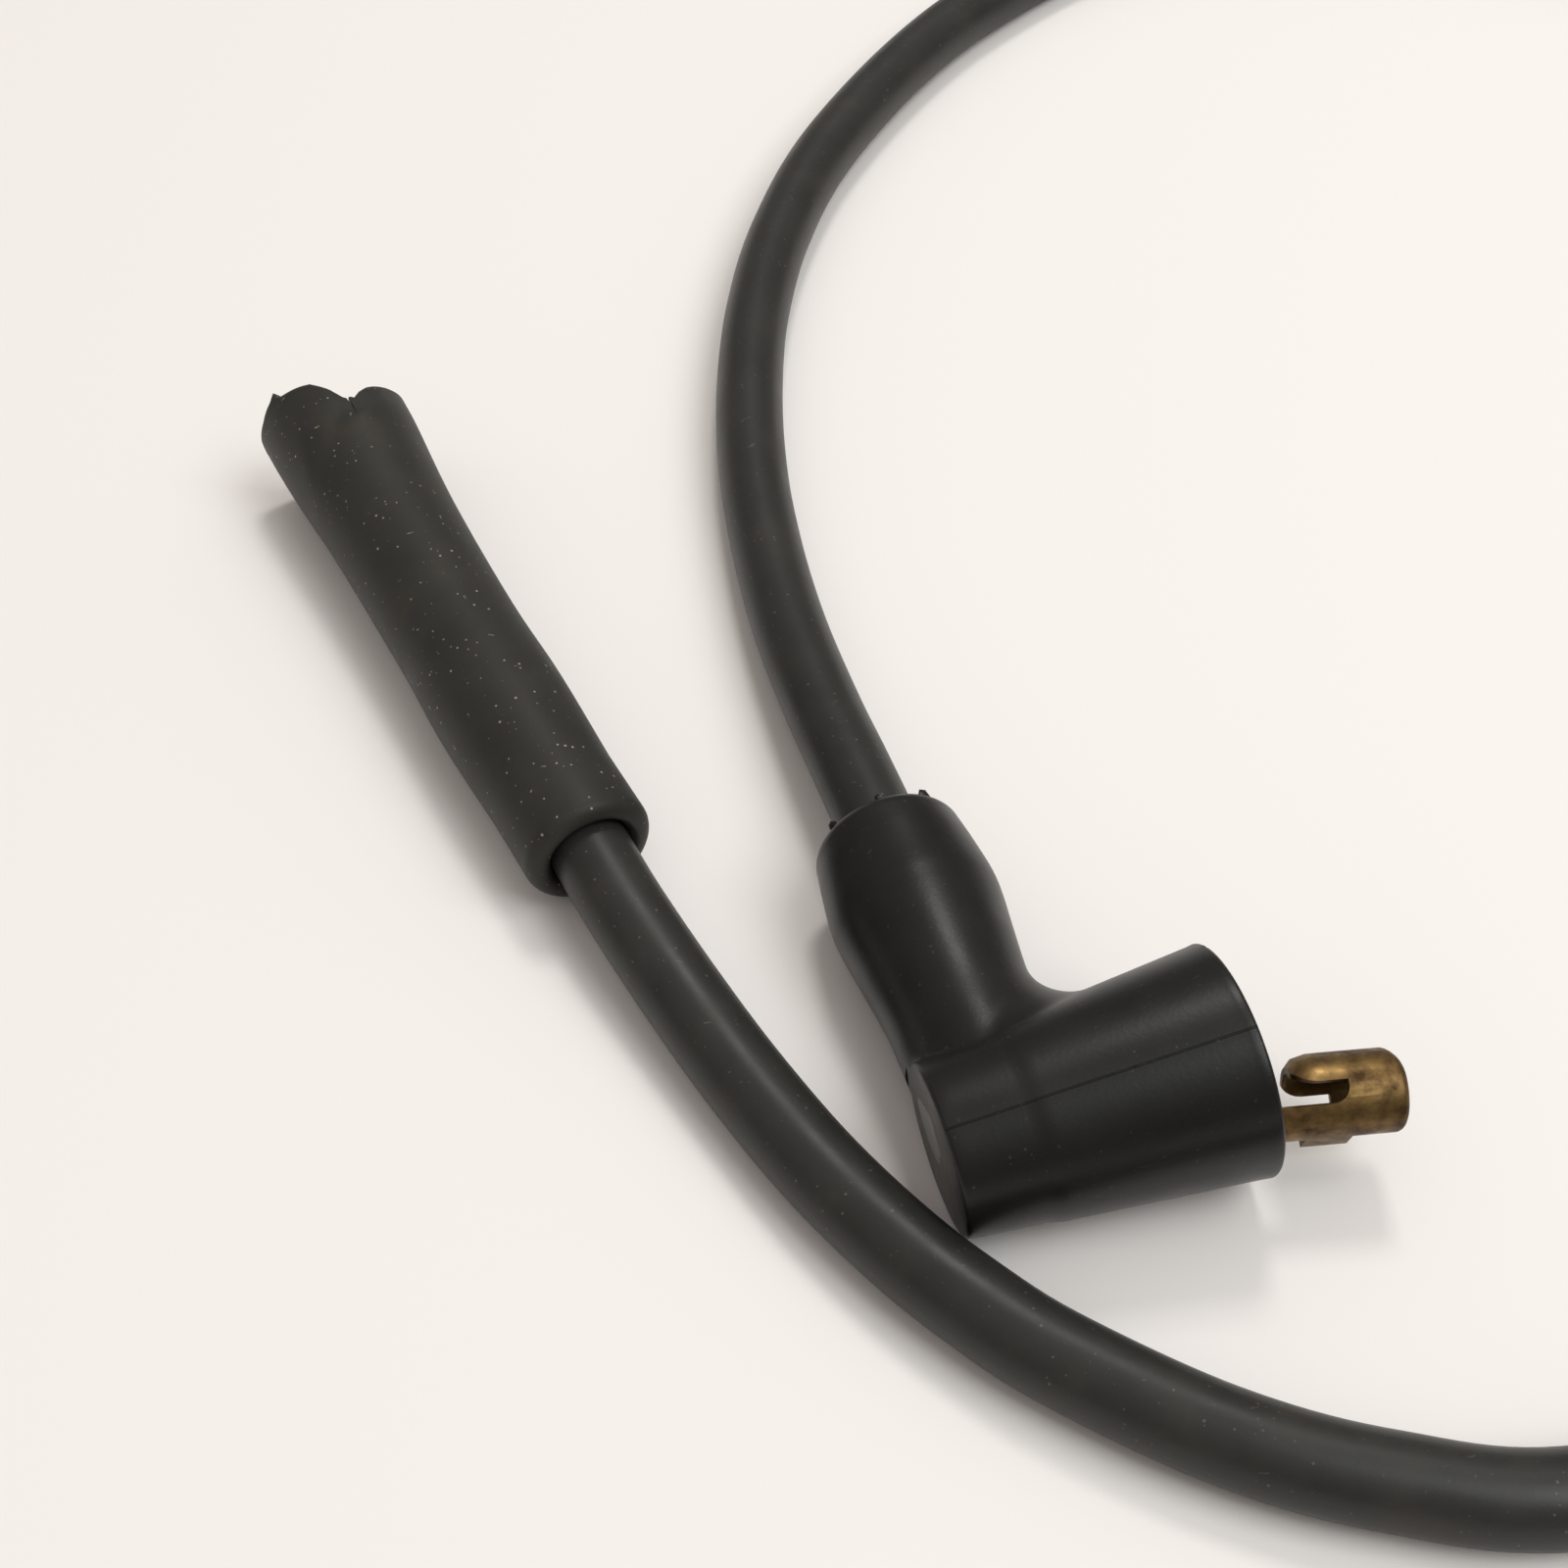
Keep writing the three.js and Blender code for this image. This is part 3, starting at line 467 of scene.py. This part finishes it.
def rubber_material(name, colour, roughness, gloss, dust, dusty, seam=None, patch=None):
    """Near-black rubber with faint cloudy wear, a fine grain and some dust.

    A seam runs from its place along X: a fine groove darkened as painted shade, with painted shade on the
    rubber just below it. A painted reflection, a pale patch where a flat face mirrors the paper, has its
    middle, its radius and its colour.
    """
    made, tree, shader = fresh_material(name)
    coords = node(tree, "ShaderNodeTexCoord").outputs["Object"]
    cloud = linked(tree, "ShaderNodeTexNoise", {0: coords}, Scale=160, Detail=6, Roughness=0.6)
    base = ramp(
        tree,
        cloud.outputs["Fac"],
        [
            (0.32, [c * 0.84 for c in colour]),
            (0.55, colour),
            (0.78, [c * lift for c, lift in zip(colour, (1.5, 1.32, 1.15))]),
        ],
    )
    grain = linked(tree, "ShaderNodeTexNoise", {0: coords}, Scale=2600, Detail=3, Roughness=0.55)
    bump = linked(tree, "ShaderNodeBump", {}, Strength=0.12, Distance=0.00008)
    tree.links.new(grain.outputs["Fac"], bump.inputs["Height"])
    if seam:
        along, across, up = placed(tree, coords, seam)
        above = product(tree, stretch(tree, up, 0, 0.1 * MM), stretch(tree, along, 0, 0.02 * MM))
        # Painted shade over the rubber just below the seam.
        shade = product(tree, stretch(tree, across, 0.05 * MM, -0.05 * MM), above)
        far = linked(tree, "ShaderNodeMath", {0: across}, operation="ABSOLUTE").outputs["Value"]
        # The seam's groove: its bump is real, and its dark line is painted shade.
        line = product(tree, stretch(tree, far, 0.11 * MM, 0.04 * MM), above)
        line = product(tree, line, stretch(tree, cloud.outputs["Fac"], 0.36, 0.5, 0.25, 1.0))
        base = mixed(tree, shade, base, [c * 0.74 for c in colour])
        base = mixed(tree, line, base, [c * 0.3 for c in colour])
        groove = linked(tree, "ShaderNodeBump", {}, Strength=0.8, Distance=0.00012, invert=True)
        tree.links.new(line, groove.inputs["Height"])
        tree.links.new(groove.outputs["Normal"], bump.inputs["Normal"])
    # Painted reflection: a pale patch where a flat face mirrors the paper.
    if patch:
        middle, reach, reflection_tint = patch
        spot = linked(tree, "ShaderNodeMapping", {0: coords}, vector_type="TEXTURE")
        spot.inputs["Location"].default_value = middle
        off = linked(tree, "ShaderNodeVectorMath", {0: spot.outputs["Vector"]}, operation="LENGTH")
        ragged = stretch(tree, cloud.outputs["Fac"], 0.35, 0.65, 0.6, 1.5)
        inside = stretch(tree, product(tree, off.outputs["Value"], ragged), reach, 0.85 * reach)
        base = mixed(tree, inside, base, reflection_tint)
    tree.links.new(bump.outputs["Normal"], shader.inputs["Normal"])
    lying = maths(tree, "MULTIPLY", dust_on(tree, coords), dusty)
    tree.links.new(mixed(tree, lying, base, dust[:]), shader.inputs["Base Color"])
    wear = ramp(tree, cloud.outputs["Fac"], [(0.3, grey(roughness - 0.04)), (0.75, grey(roughness + 0.08))])
    tree.links.new(wear, shader.inputs["Roughness"])
    shader.inputs["Specular IOR Level"].default_value = gloss
    return made


def brass_material(settings):
    """Aged sheet brass: golden where it is rubbed, olive brown elsewhere."""
    made, tree, shader = fresh_material("aged brass")
    coords = node(tree, "ShaderNodeTexCoord").outputs["Object"]
    cloud = linked(tree, "ShaderNodeTexNoise", {0: coords}, Scale=420, Detail=6, Roughness=0.62)
    dull, bright, rough = settings.dull[:], settings.bright[:], settings.roughness
    between = [0.6 * low + 0.4 * high for low, high in zip(dull, bright)]
    tint = ramp(tree, cloud.outputs["Fac"], [(0.36, dull), (0.52, between), (0.72, bright)])
    tree.links.new(tint, shader.inputs["Base Color"])
    wear = ramp(tree, cloud.outputs["Fac"], [(0.3, grey(rough + 0.16)), (0.7, grey(rough - 0.06))])
    tree.links.new(wear, shader.inputs["Roughness"])
    shader.inputs["Metallic"].default_value = 0.8
    grain = linked(tree, "ShaderNodeTexNoise", {0: coords}, Scale=1500, Detail=4)
    bump = node(tree, "ShaderNodeBump", Strength=0.18, Distance=0.0001)
    tree.links.new(grain.outputs["Fac"], bump.inputs["Height"])
    tree.links.new(bump.outputs["Normal"], shader.inputs["Normal"])
    return made


def lead_route(scene):
    """The lead's whole middle line, from inside the plug boot to inside the stem."""
    plug = plug_place(scene.wire_plug_boot)
    elbow = elbow_place(scene.wire_elbow_boot)
    lip = scene.wire_elbow_boot.lip
    inner = STEM_END * MM
    far_in = PLUG_END * MM
    points = [plug @ Vector((x, 0, 0)) for x in (far_in, far_in / 2, 0)]
    points += [Vector(p) * MM for p in ROUTE]
    points += [elbow @ Vector((0, y, 0)) for y in (lip, (lip + inner) / 2, inner)]
    return points


class WIRE_OT_stage(bpy.types.Operator):
    """Make the table, the lamps and the camera"""

    bl_idname = "wire.stage"
    bl_label = "Stage"

    # The camera's place, and its tilt from straight down and turn about Z in degrees.
    CAMERA_AT = (-35.6 * MM, -128.53 * MM, 149.05 * MM)
    CAMERA_TILT = 42
    CAMERA_TURN = -16.5

    # The round table's radius and the height of the wall at its edge.
    TABLE_R = 6
    WALL = 0.8

    # What the lamps point at, and each lamp's place, size and tint.
    AIM = (0.01, 0.0, 0.005)
    WINDOW = ((0.24, 0.52, 1.05), 0.24, (1.0, 0.985, 0.96))
    PANEL = ((0.48, -0.45, 1.0), 0.7, (0.95, 0.99, 1.0))
    SKY = (1.0, 0.94, 0.9, 1)

    def execute(self, context):
        scene = context.scene
        stage = scene.wire_stage
        scene.view_settings.view_transform = "Standard"

        lens = bpy.data.cameras.new("camera")
        lens.lens = stage.lens
        lens.sensor_width = 36
        lens.clip_start = 0.01
        lens.clip_end = 20
        camera = bpy.data.objects.new("camera", lens)
        camera.location = self.CAMERA_AT
        camera.rotation_euler = (math.radians(self.CAMERA_TILT), 0, math.radians(self.CAMERA_TURN))
        scene.collection.objects.link(camera)
        scene.camera = camera

        paper, _, shader = fresh_material("white paper")
        shader.inputs["Base Color"].default_value = (*stage.paper, 1)
        shader.inputs["Roughness"].default_value = 0.9
        shader.inputs["Specular IOR Level"].default_value = 0.2

        # The table is so wide that the main view never meets its edge. From lower angles a low wall of the same
        # paper hides the dark behind it.
        bm = bmesh.new()
        bmesh.ops.create_circle(bm, cap_ends=True, segments=96, radius=self.TABLE_R)
        rim = bmesh.ops.extrude_edge_only(bm, edges=[edge for edge in bm.edges if edge.is_boundary])
        raised = [part for part in rim["geom"] if isinstance(part, bmesh.types.BMVert)]
        bmesh.ops.translate(bm, vec=(0, 0, self.WALL), verts=raised)
        table = new_object("table", bm, paper)

        world = bpy.data.worlds.new("soft light")
        scene.world = world
        world.use_nodes = True
        # The light from all round is brightest straight above, as in a room with a pale ceiling.
        sky = world.node_tree
        ways = linked(sky, "ShaderNodeSeparateXYZ", {0: node(sky, "ShaderNodeTexCoord").outputs["Generated"]})
        strength = stretch(sky, ways.outputs["Z"], 0, 1, stage.around, stage.overhead)
        sky.links.new(strength, sky.nodes["Background"].inputs["Strength"])
        sky.nodes["Background"].inputs["Color"].default_value = self.SKY

        # A window behind the object gives the gloss, and a large pale panel over the camera's right lightens
        # the near side.
        self.lamp(scene, "window", stage.window_power, *self.WINDOW)
        self.lamp(scene, "panel", stage.panel_power, *self.PANEL)
        return {"FINISHED"}

    def lamp(self, scene, name, power, place, size, tint):
        light = bpy.data.lights.new(name, "AREA")
        light.size = size
        light.energy = power
        light.color = tint
        made = bpy.data.objects.new(name, light)
        made.location = place
        aim = Vector(self.AIM) - made.location
        made.rotation_euler = aim.to_track_quat("-Z", "Y").to_euler()
        scene.collection.objects.link(made)


class WIRE_OT_lead(bpy.types.Operator):
    """Make the lead's jacket along its route"""

    bl_idname = "wire.lead"
    bl_label = "Lead"

    def execute(self, context):
        scene = context.scene
        lead = scene.wire_lead
        rubber = scene.wire_rubber
        path = evenly(spline_through(lead_route(scene), 24), lead.step)
        curve = bpy.data.curves.new("jacket", "CURVE")
        curve.dimensions = "3D"
        curve.bevel_depth = lead.jacket_r
        curve.bevel_resolution = lead.sides // 4 - 2
        curve.use_fill_caps = True
        line = curve.splines.new("POLY")
        line.points.add(len(path) - 1)
        for spot, point in zip(line.points, path):
            spot.co = (*point, 1)
        line.use_smooth = True
        finish = rubber_material(
            "jacket rubber", lead.colour[:], lead.roughness, lead.gloss, rubber.dust, JACKET_DUST
        )
        curve.materials.append(finish)
        jacket = bpy.data.objects.new("jacket", curve)
        scene.collection.objects.link(jacket)
        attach(jacket, "root")
        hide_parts("lead_jacket")
        return {"FINISHED"}


def tear_at(turn):
    """How far the torn mouth stands past its nominal length, for degrees round from the top."""
    turn %= 360
    for (a, low), (b, high) in zip(TEAR, TEAR[1:]):
        if a <= turn <= b:
            return (low + (high - low) * (turn - a) / (b - a)) * MM
    return 0.0


def boolean(target, tool, operation):
    """The target's mesh joined with or cut by the tool, which is used up."""
    change = target.modifiers.new("change", "BOOLEAN")
    change.operation = operation
    change.solver = "EXACT"
    change.object = tool
    shown = bpy.context.evaluated_depsgraph_get()
    mesh = bpy.data.meshes.new_from_object(target.evaluated_get(shown))
    target.modifiers.clear()
    old = target.data
    target.data = mesh
    bpy.data.meshes.remove(old)
    used = tool.data
    bpy.data.objects.remove(tool)
    bpy.data.meshes.remove(used)


def loose(name, bm):
    """A mesh that only helps to make another."""
    mesh = bpy.data.meshes.new(name)
    bm.to_mesh(mesh)
    bm.free()
    made = bpy.data.objects.new(name, mesh)
    bpy.context.scene.collection.objects.link(made)
    return made


def taken(made):
    """The mesh of a helping object, which is used up."""
    bm = bmesh.new()
    bm.from_mesh(made.data)
    used = made.data
    bpy.data.objects.remove(made)
    bpy.data.meshes.remove(used)
    return bm


class WIRE_OT_plug_boot(bpy.types.Operator):
    """Make the straight boot with its torn mouth"""

    bl_idname = "wire.plug_boot"
    bl_label = "Plug Boot"

    # The bore that the plug terminal's clip sits in.
    CLIP_BORE = 4.1 * MM

    # Degrees from the top to the split, and the folds that run back from the torn mouth: degrees round,
    # degrees wide and millimetres deep. They wind round the boot by so many degrees a millimetre.
    SPLIT_TURN = 5
    FOLDS = ((3, 9, 0.24), (-26, 11, -0.1), (28, 10, -0.08))
    FOLD_DRIFT = 4.5

    def execute(self, context):
        scene = context.scene
        boot = scene.wire_plug_boot
        rubber = scene.wire_rubber
        end_r, shoulder, full = boot.end_r, boot.shoulder, boot.length
        outside = arc(shoulder, end_r - shoulder, shoulder, 180, 90, 8)
        outside += smooth_line(
            [
                (8 * MM, end_r),
                (19 * MM, boot.swell_r),
                (29.5 * MM, boot.waist_r),
                (45 * MM, boot.flare_r),
                (full - 5 * MM, boot.mouth_r - 0.15 * MM),
                (full - 0.4 * MM, boot.mouth_r),
            ],
            18,
        )
        outside.append((full - 0.1 * MM, boot.mouth_r - 0.12 * MM))
        outside.append((full, boot.mouth_r - 0.4 * MM))
        inside = [
            (full, boot.socket_r + 0.3 * MM),
            (full - 0.3 * MM, boot.socket_r),
            (full - 5 * MM, boot.socket_r),
            (53 * MM, boot.socket_r),
            (53 * MM, self.CLIP_BORE),
            (36.9 * MM, self.CLIP_BORE),
            (36.6 * MM, CRIMP_BORE),
            (22.2 * MM, CRIMP_BORE),
            (22.2 * MM, LOOSE_BORE),
            (4 * MM, LOOSE_BORE),
            (3 * MM, boot.bore_r),
            (1.5 * MM, boot.bore_r),
            (0.9 * MM, boot.bore_r + 0.12 * MM),
            (0.4 * MM, boot.bore_r + 0.32 * MM),
            (0.1 * MM, boot.bore_r + 0.62 * MM),
        ]
        bm = lathe(outside + inside, boot.sides, closed=True)
        for vert in bm.verts:
            x, y, z = vert.co
            r = math.hypot(y, z)
            turn = math.degrees(math.atan2(-y, z))
            pull = smoothstep(x, full - 9 * MM, full)
            vert.co.x += pull * tear_at(turn)
            if r > boot.socket_r - 0.15 * MM and shoulder < x:
                fold = 0.0
                for turn_at, wide, deep in self.FOLDS:
                    drift = turn_at - self.FOLD_DRIFT * max(full - 3 * MM - x, 0) / MM
                    off = (turn - drift + 180) % 360 - 180
                    fold += deep * MM * math.exp(-((off / wide) ** 2))
                fold *= smoothstep(x, full - 13 * MM, full - 4 * MM)
                vert.co.y -= fold * y / r
                vert.co.z -= fold * z / r
                vert.co.y += boot.bow * math.sin(math.pi * min(x / full, 1))
        made = loose("straight", bm)
        torn = full + tear_at(self.SPLIT_TURN)
        past = torn + 1 * MM
        half = boot.split_width / 2 * (boot.split_length + 1 * MM) / boot.split_length
        wedge = prism([(torn - boot.split_length, 0), (past, -half), (past, half)], 4.2 * MM, 11.5 * MM)
        wedge.transform(Matrix.Rotation(math.radians(90 + self.SPLIT_TURN), 4, "X"))
        boolean(made, loose("split", wedge), "DIFFERENCE")
        bm = taken(made)
        bmesh.ops.remove_doubles(bm, verts=bm.verts, dist=0.004 * MM)
        bm.transform(plug_place(boot))
        material = rubber_material(
            "boot rubber", rubber.plug_colour[:], rubber.plug_roughness, rubber.gloss, rubber.dust, PLUG_DUST
        )
        made = new_object("straight_boot", bm, material, 45)
        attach(made, "root")
        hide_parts("plug_boot")
        return {"FINISHED"}


class WIRE_OT_elbow_boot(bpy.types.Operator):
    """Make the right angled boot"""

    bl_idname = "wire.elbow_boot"
    bl_label = "Right Angled Boot"

    # Degrees from the top of the barrel to its seam, and from the stem's side up to the nick in its rim.
    SEAM_TURN = 21
    NICK_TURN = 52

    # From the corner to the floor of the tower socket.
    SOCKET_FLOOR = 5 * MM

    # The stem: its radius at the foot, the place and radius of its swelling, half the swelling's height and
    # how far its flatness reaches along the stem, and the rounding of the lip.
    FOOT_R = 6.05 * MM
    SWELL_AT = 23.2 * MM
    SWELL_R = 7.2 * MM
    SWELL_FLAT = 6.72 * MM
    SWELL_REACH = 8 * MM
    LIP_ROUND = 1.5 * MM

    # The crotch fillet: how far up and down it reaches, over what width it fades towards the heel, and its
    # least radius.
    FILLET_UP = 6.4 * MM
    FILLET_SIDE = 4 * MM
    FILLET_LEAST = 0.2 * MM

    # The moulding line by the stem's lip: millimetres along the stem from where the lip's rounding starts, and
    # how deep it is there.
    MOULD_LINE = ((-0.35, 0.0), (-0.22, 0.0), (-0.15, 0.15), (-0.08, 0.15), (0.0, 0.0))

    # The painted reflection on the heel's rear face, pale where the flat face mirrors the paper: its middle
    # from the barrel's axis along Y and Z, and its radius.
    REFLECTION_AT = (2.5 * MM, 0.1 * MM)
    REFLECTION_R = 2.8 * MM

    # Torn flakes of rubber on the lip: degrees round from +X, millimetres out, across and along.
    FLAKES = ((50, 5.8, 0.55, 0.7), (92, 5.7, 0.35, 0.45), (138, 5.8, 0.5, 0.65))

    def stem_stations(self, boot):
        return [
            (0, self.FOOT_R),
            (8 * MM, self.FOOT_R),
            (12 * MM, 6.15 * MM),
            (16.5 * MM, 6.6 * MM),
            (20.7 * MM, 7.1 * MM),
            (self.SWELL_AT, self.SWELL_R),
            (26.7 * MM, 6.85 * MM),
            (boot.lip - self.LIP_ROUND, boot.lip_r),
        ]

    def execute(self, context):
        scene = context.scene
        boot = scene.wire_elbow_boot
        rubber = scene.wire_rubber
        slope = barrel_slope(boot)

        def barrel_r(x):
            return boot.heel_r + slope * (x + boot.heel)

        # Barrel, with a station every half millimetre so that the fillet has points to move. Its heel is a
        # hair slimmer than the rest.
        edge = 0.35 * MM
        outline = arc(-boot.heel + edge, boot.heel_r - boot.heel_step - edge, edge, 180, 95, 4)
        straight = boot.mouth + boot.heel - 2 * edge
        steps = int(straight / (0.5 * MM))
        for k in range(1, steps):
            x = -boot.heel + edge + straight * k / steps
            back = boot.heel_step * (1 - smoothstep(x, boot.heel_end - 0.5 * MM, boot.heel_end + 0.5 * MM))
            outline.append((x, barrel_r(x) - back))
        outline += arc(boot.mouth - edge, boot.mouth_r - edge, edge, 85, 0, 4)
        barrel = loose("barrel", lathe(outline, 144))

        # Stem, a little flatter than wide over its swelling. A fine moulding line runs round it by the lip.
        sides = smooth_line(self.stem_stations(boot), 9)
        round_at = boot.lip - self.LIP_ROUND
        lip = arc(round_at, boot.lip_r - self.LIP_ROUND, self.LIP_ROUND, 75, 0, 8)
        ring = [(round_at + far * MM, boot.lip_r - deep * MM) for far, deep in self.MOULD_LINE]
        bm = lathe(sides + ring + lip, 112, axis="Y")
        for vert in bm.verts:
            away = min(abs(vert.co.y - self.SWELL_AT) / self.SWELL_REACH, 1)
            vert.co.z *= 1 - (1 - self.SWELL_FLAT / self.SWELL_R) * math.cos(away * math.pi / 2) ** 2
        boolean(barrel, loose("stem", bm), "UNION")
        self.fillet(barrel.data, boot)

        # The rear face is cut flat across the stem's foot.
        behind = -boot.heel - 2 * MM
        side = boot.mouth_r
        block = [(behind, -side), (-boot.heel, -side), (-boot.heel, side), (behind, side)]
        boolean(barrel, loose("rear", prism(block, -side, boot.heel_r + 0.2 * MM)), "DIFFERENCE")

        socket = lathe(
            [
                (-boot.heel + 1.1 * MM, 0),
                (-boot.heel + 1.1 * MM, 4.25 * MM),
                (-boot.heel + 1.7 * MM, CRIMP_BORE),
                (self.SOCKET_FLOOR, CRIMP_BORE),
                (self.SOCKET_FLOOR, barrel_r(self.SOCKET_FLOOR) - boot.wall),
                (boot.mouth - 0.4 * MM, barrel_r(boot.mouth - 0.4 * MM) - boot.wall),
                (boot.mouth + 1 * MM, boot.mouth_r - boot.wall + 0.9 * MM),
                (boot.mouth + 1 * MM, 0),
            ],
            112,
        )
        boolean(barrel, loose("socket", socket), "DIFFERENCE")
        hole = lathe(
            [
                (-4.05 * MM, 0),
                (-4.05 * MM, 4.05 * MM),
                (-3.25 * MM, CRIMP_BORE),
                (17.25 * MM, CRIMP_BORE),
                (17.25 * MM, LOOSE_BORE),
                (26 * MM, LOOSE_BORE),
                (27 * MM, boot.bore_r),
                (boot.lip + 0.6 * MM, boot.bore_r),
                (boot.lip + 0.6 * MM, 0),
            ],
            96,
            axis="Y",
        )
        boolean(barrel, loose("lead hole", hole), "DIFFERENCE")

        # A nick in the rim of the mouth.
        bm = bmesh.new()
        bmesh.ops.create_icosphere(bm, subdivisions=2, radius=0.5 * MM)
        nick = math.radians(self.NICK_TURN)
        reach = boot.mouth_r + 0.15 * MM
        bmesh.ops.translate(
            bm, vec=(boot.mouth + 0.1 * MM, reach * math.cos(nick), reach * math.sin(nick)), verts=bm.verts
        )
        boolean(barrel, loose("nick", bm), "DIFFERENCE")

        bm = taken(barrel)
        bmesh.ops.remove_doubles(bm, verts=bm.verts, dist=0.01 * MM)
        self.flakes(bm, boot)
        place = elbow_place(boot)
        bm.transform(place)
        heel = Matrix.Translation((0.04 * MM - boot.heel, 0, 0))
        seam = place @ heel @ Matrix.Rotation(math.radians(self.SEAM_TURN), 4, "X")
        # The elbow's rubber has painted shade at its seam and a painted reflection of the paper on the heel's
        # rear face.
        material = rubber_material(
            "elbow rubber",
            rubber.elbow_colour[:],
            rubber.elbow_roughness,
            rubber.elbow_gloss,
            rubber.dust,
            ELBOW_DUST,
            seam,
            (place @ Vector((-boot.heel, *self.REFLECTION_AT)), self.REFLECTION_R, rubber.reflection_tint[:]),
        )
        made = new_object("right_angled_boot", bm, material, 38)
        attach(made, "root")
        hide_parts("distributor_boot")
        return {"FINISHED"}

    def flakes(self, bm, boot):
        """Adds the torn flakes that stand on the lip beside the lead."""
        for turn, out, wide, tall in self.FLAKES:
            round_by = Matrix.Rotation(-math.radians(turn), 3, "Y")
            made = bmesh.ops.create_icosphere(bm, subdivisions=1, radius=0.5 * MM)["verts"]
            bmesh.ops.scale(bm, vec=(0.7, 2 * tall, 2 * wide), verts=made)
            bmesh.ops.rotate(bm, cent=(0, 0, 0), matrix=Matrix.Rotation(0.35, 3, "X"), verts=made)
            bmesh.ops.translate(bm, vec=(out * MM, boot.lip - 0.1 * MM, 0), verts=made)
            bmesh.ops.rotate(bm, cent=(0, 0, 0), matrix=round_by, verts=made)

    def fillet(self, mesh, boot):
        """Moves the points near the crotch out on to a rounded join of the stem and the barrel.

        The join is widest at mid height in the crotch, and fades out above, below and towards the heel.
        """
        stations = smooth_line(self.stem_stations(boot), 9)
        along = np.array([s[0] for s in stations])
        radii = np.array([s[1] for s in stations])
        slope = barrel_slope(boot)

        def field(p):
            step = boot.heel_step * np.clip((boot.heel_end + 0.5 * MM - p[:, 0]) / MM, 0, 1)
            barrel = np.hypot(p[:, 1], p[:, 2]) - (boot.heel_r + slope * (p[:, 0] + boot.heel) - step)
            stem = np.hypot(p[:, 0], p[:, 2]) - np.interp(p[:, 1], along, radii)
            room = np.clip(1 - (p[:, 2] / self.FILLET_UP) ** 2, 0, 1) ** 0.5
            side = np.clip((p[:, 0] + 0.5 * MM) / self.FILLET_SIDE, 0, 1)
            r = self.FILLET_LEAST + (boot.crotch - self.FILLET_LEAST) * room * side * side * (3 - 2 * side)
            u = np.maximum(r - barrel, 0)
            v = np.maximum(r - stem, 0)
            return np.maximum(r, np.minimum(barrel, stem)) - np.hypot(u, v), (u > 0) & (v > 0)

        co = np.empty(len(mesh.vertices) * 3)
        mesh.vertices.foreach_get("co", co)
        co = co.reshape(-1, 3)
        tiny = 0.002 * MM
        for _ in range(12):
            value, near = field(co)
            near &= (co[:, 1] > 0.5 * MM) & (co[:, 0] > -boot.heel + 0.4 * MM) & (co[:, 0] < boot.mouth - MM)
            steps = [tiny * axis for axis in np.eye(3)]
            slopes = np.stack([(field(co + way)[0] - field(co - way)[0]) / (2 * tiny) for way in steps], 1)
            size = np.maximum((slopes**2).sum(1), 0.2)
            co = co - np.where(near, value / size, 0)[:, None] * slopes
        mesh.vertices.foreach_set("co", co.ravel())
        mesh.update()


class WIRE_OT_terminals(bpy.types.Operator):
    """Dress the two terminals and the lead's core"""

    bl_idname = "wire.terminals"
    bl_label = "Terminals"

    def execute(self, context):
        brass = brass_material(context.scene.wire_brass)
        for name in ("distributor_terminal", "plug_terminal"):
            bm = bmesh.new()
            bm.from_mesh(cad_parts[name].data)
            bmesh.ops.remove_doubles(bm, verts=bm.verts, dist=0.002 * MM)
            made = new_object(name + "_brass", bm, brass, 35)
            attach(made, "root")
            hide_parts(name)
        carbon, _, shader = fresh_material("carbon core")
        shader.inputs["Base Color"].default_value = (0.01, 0.01, 0.01, 1)
        shader.inputs["Roughness"].default_value = 0.8
        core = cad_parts["lead_core"]
        core.data.materials.clear()
        core.data.materials.append(carbon)
        return {"FINISHED"}


class WIRE_PT_panel(bpy.types.Panel):
    """Sizes and pieces of the spark plug wire"""

    bl_idname = "WIRE_PT_panel"
    bl_label = "Spark Plug Wire"
    bl_space_type = "VIEW_3D"
    bl_region_type = "UI"
    bl_category = "Spark Plug Wire"

    def draw(self, context):
        for settings, operators in PANEL:
            box = self.layout.box()
            for group in settings:
                values = getattr(context.scene, group)
                for name in values.__annotations__:
                    box.prop(values, name)
            for operator in operators:
                box.operator(operator)


SETTINGS = {
    "wire_stage": StageSettings,
    "wire_rubber": RubberSettings,
    "wire_brass": BrassSettings,
    "wire_lead": LeadSettings,
    "wire_plug_boot": PlugBootSettings,
    "wire_elbow_boot": ElbowBootSettings,
}

PANEL = [
    (("wire_stage",), ("wire.stage",)),
    (("wire_lead", "wire_rubber"), ("wire.lead",)),
    (("wire_plug_boot",), ("wire.plug_boot",)),
    (("wire_elbow_boot",), ("wire.elbow_boot",)),
    (("wire_brass",), ("wire.terminals",)),
]

OPERATORS = (WIRE_OT_stage, WIRE_OT_lead, WIRE_OT_plug_boot, WIRE_OT_elbow_boot, WIRE_OT_terminals)


def register():
    for group in SETTINGS.values():
        bpy.utils.register_class(group)
    for name, group in SETTINGS.items():
        setattr(bpy.types.Scene, name, PointerProperty(type=group))
    for kind in (*OPERATORS, WIRE_PT_panel):
        bpy.utils.register_class(kind)


def unregister():
    for kind in reversed((*OPERATORS, WIRE_PT_panel)):
        bpy.utils.unregister_class(kind)
    for name in SETTINGS:
        delattr(bpy.types.Scene, name)
    for group in reversed(SETTINGS.values()):
        bpy.utils.unregister_class(group)


def main():
    register()
    bpy.ops.wire.stage()
    bpy.ops.wire.lead()
    bpy.ops.wire.plug_boot()
    bpy.ops.wire.elbow_boot()
    bpy.ops.wire.terminals()


if __name__ == "__main__":
    main()
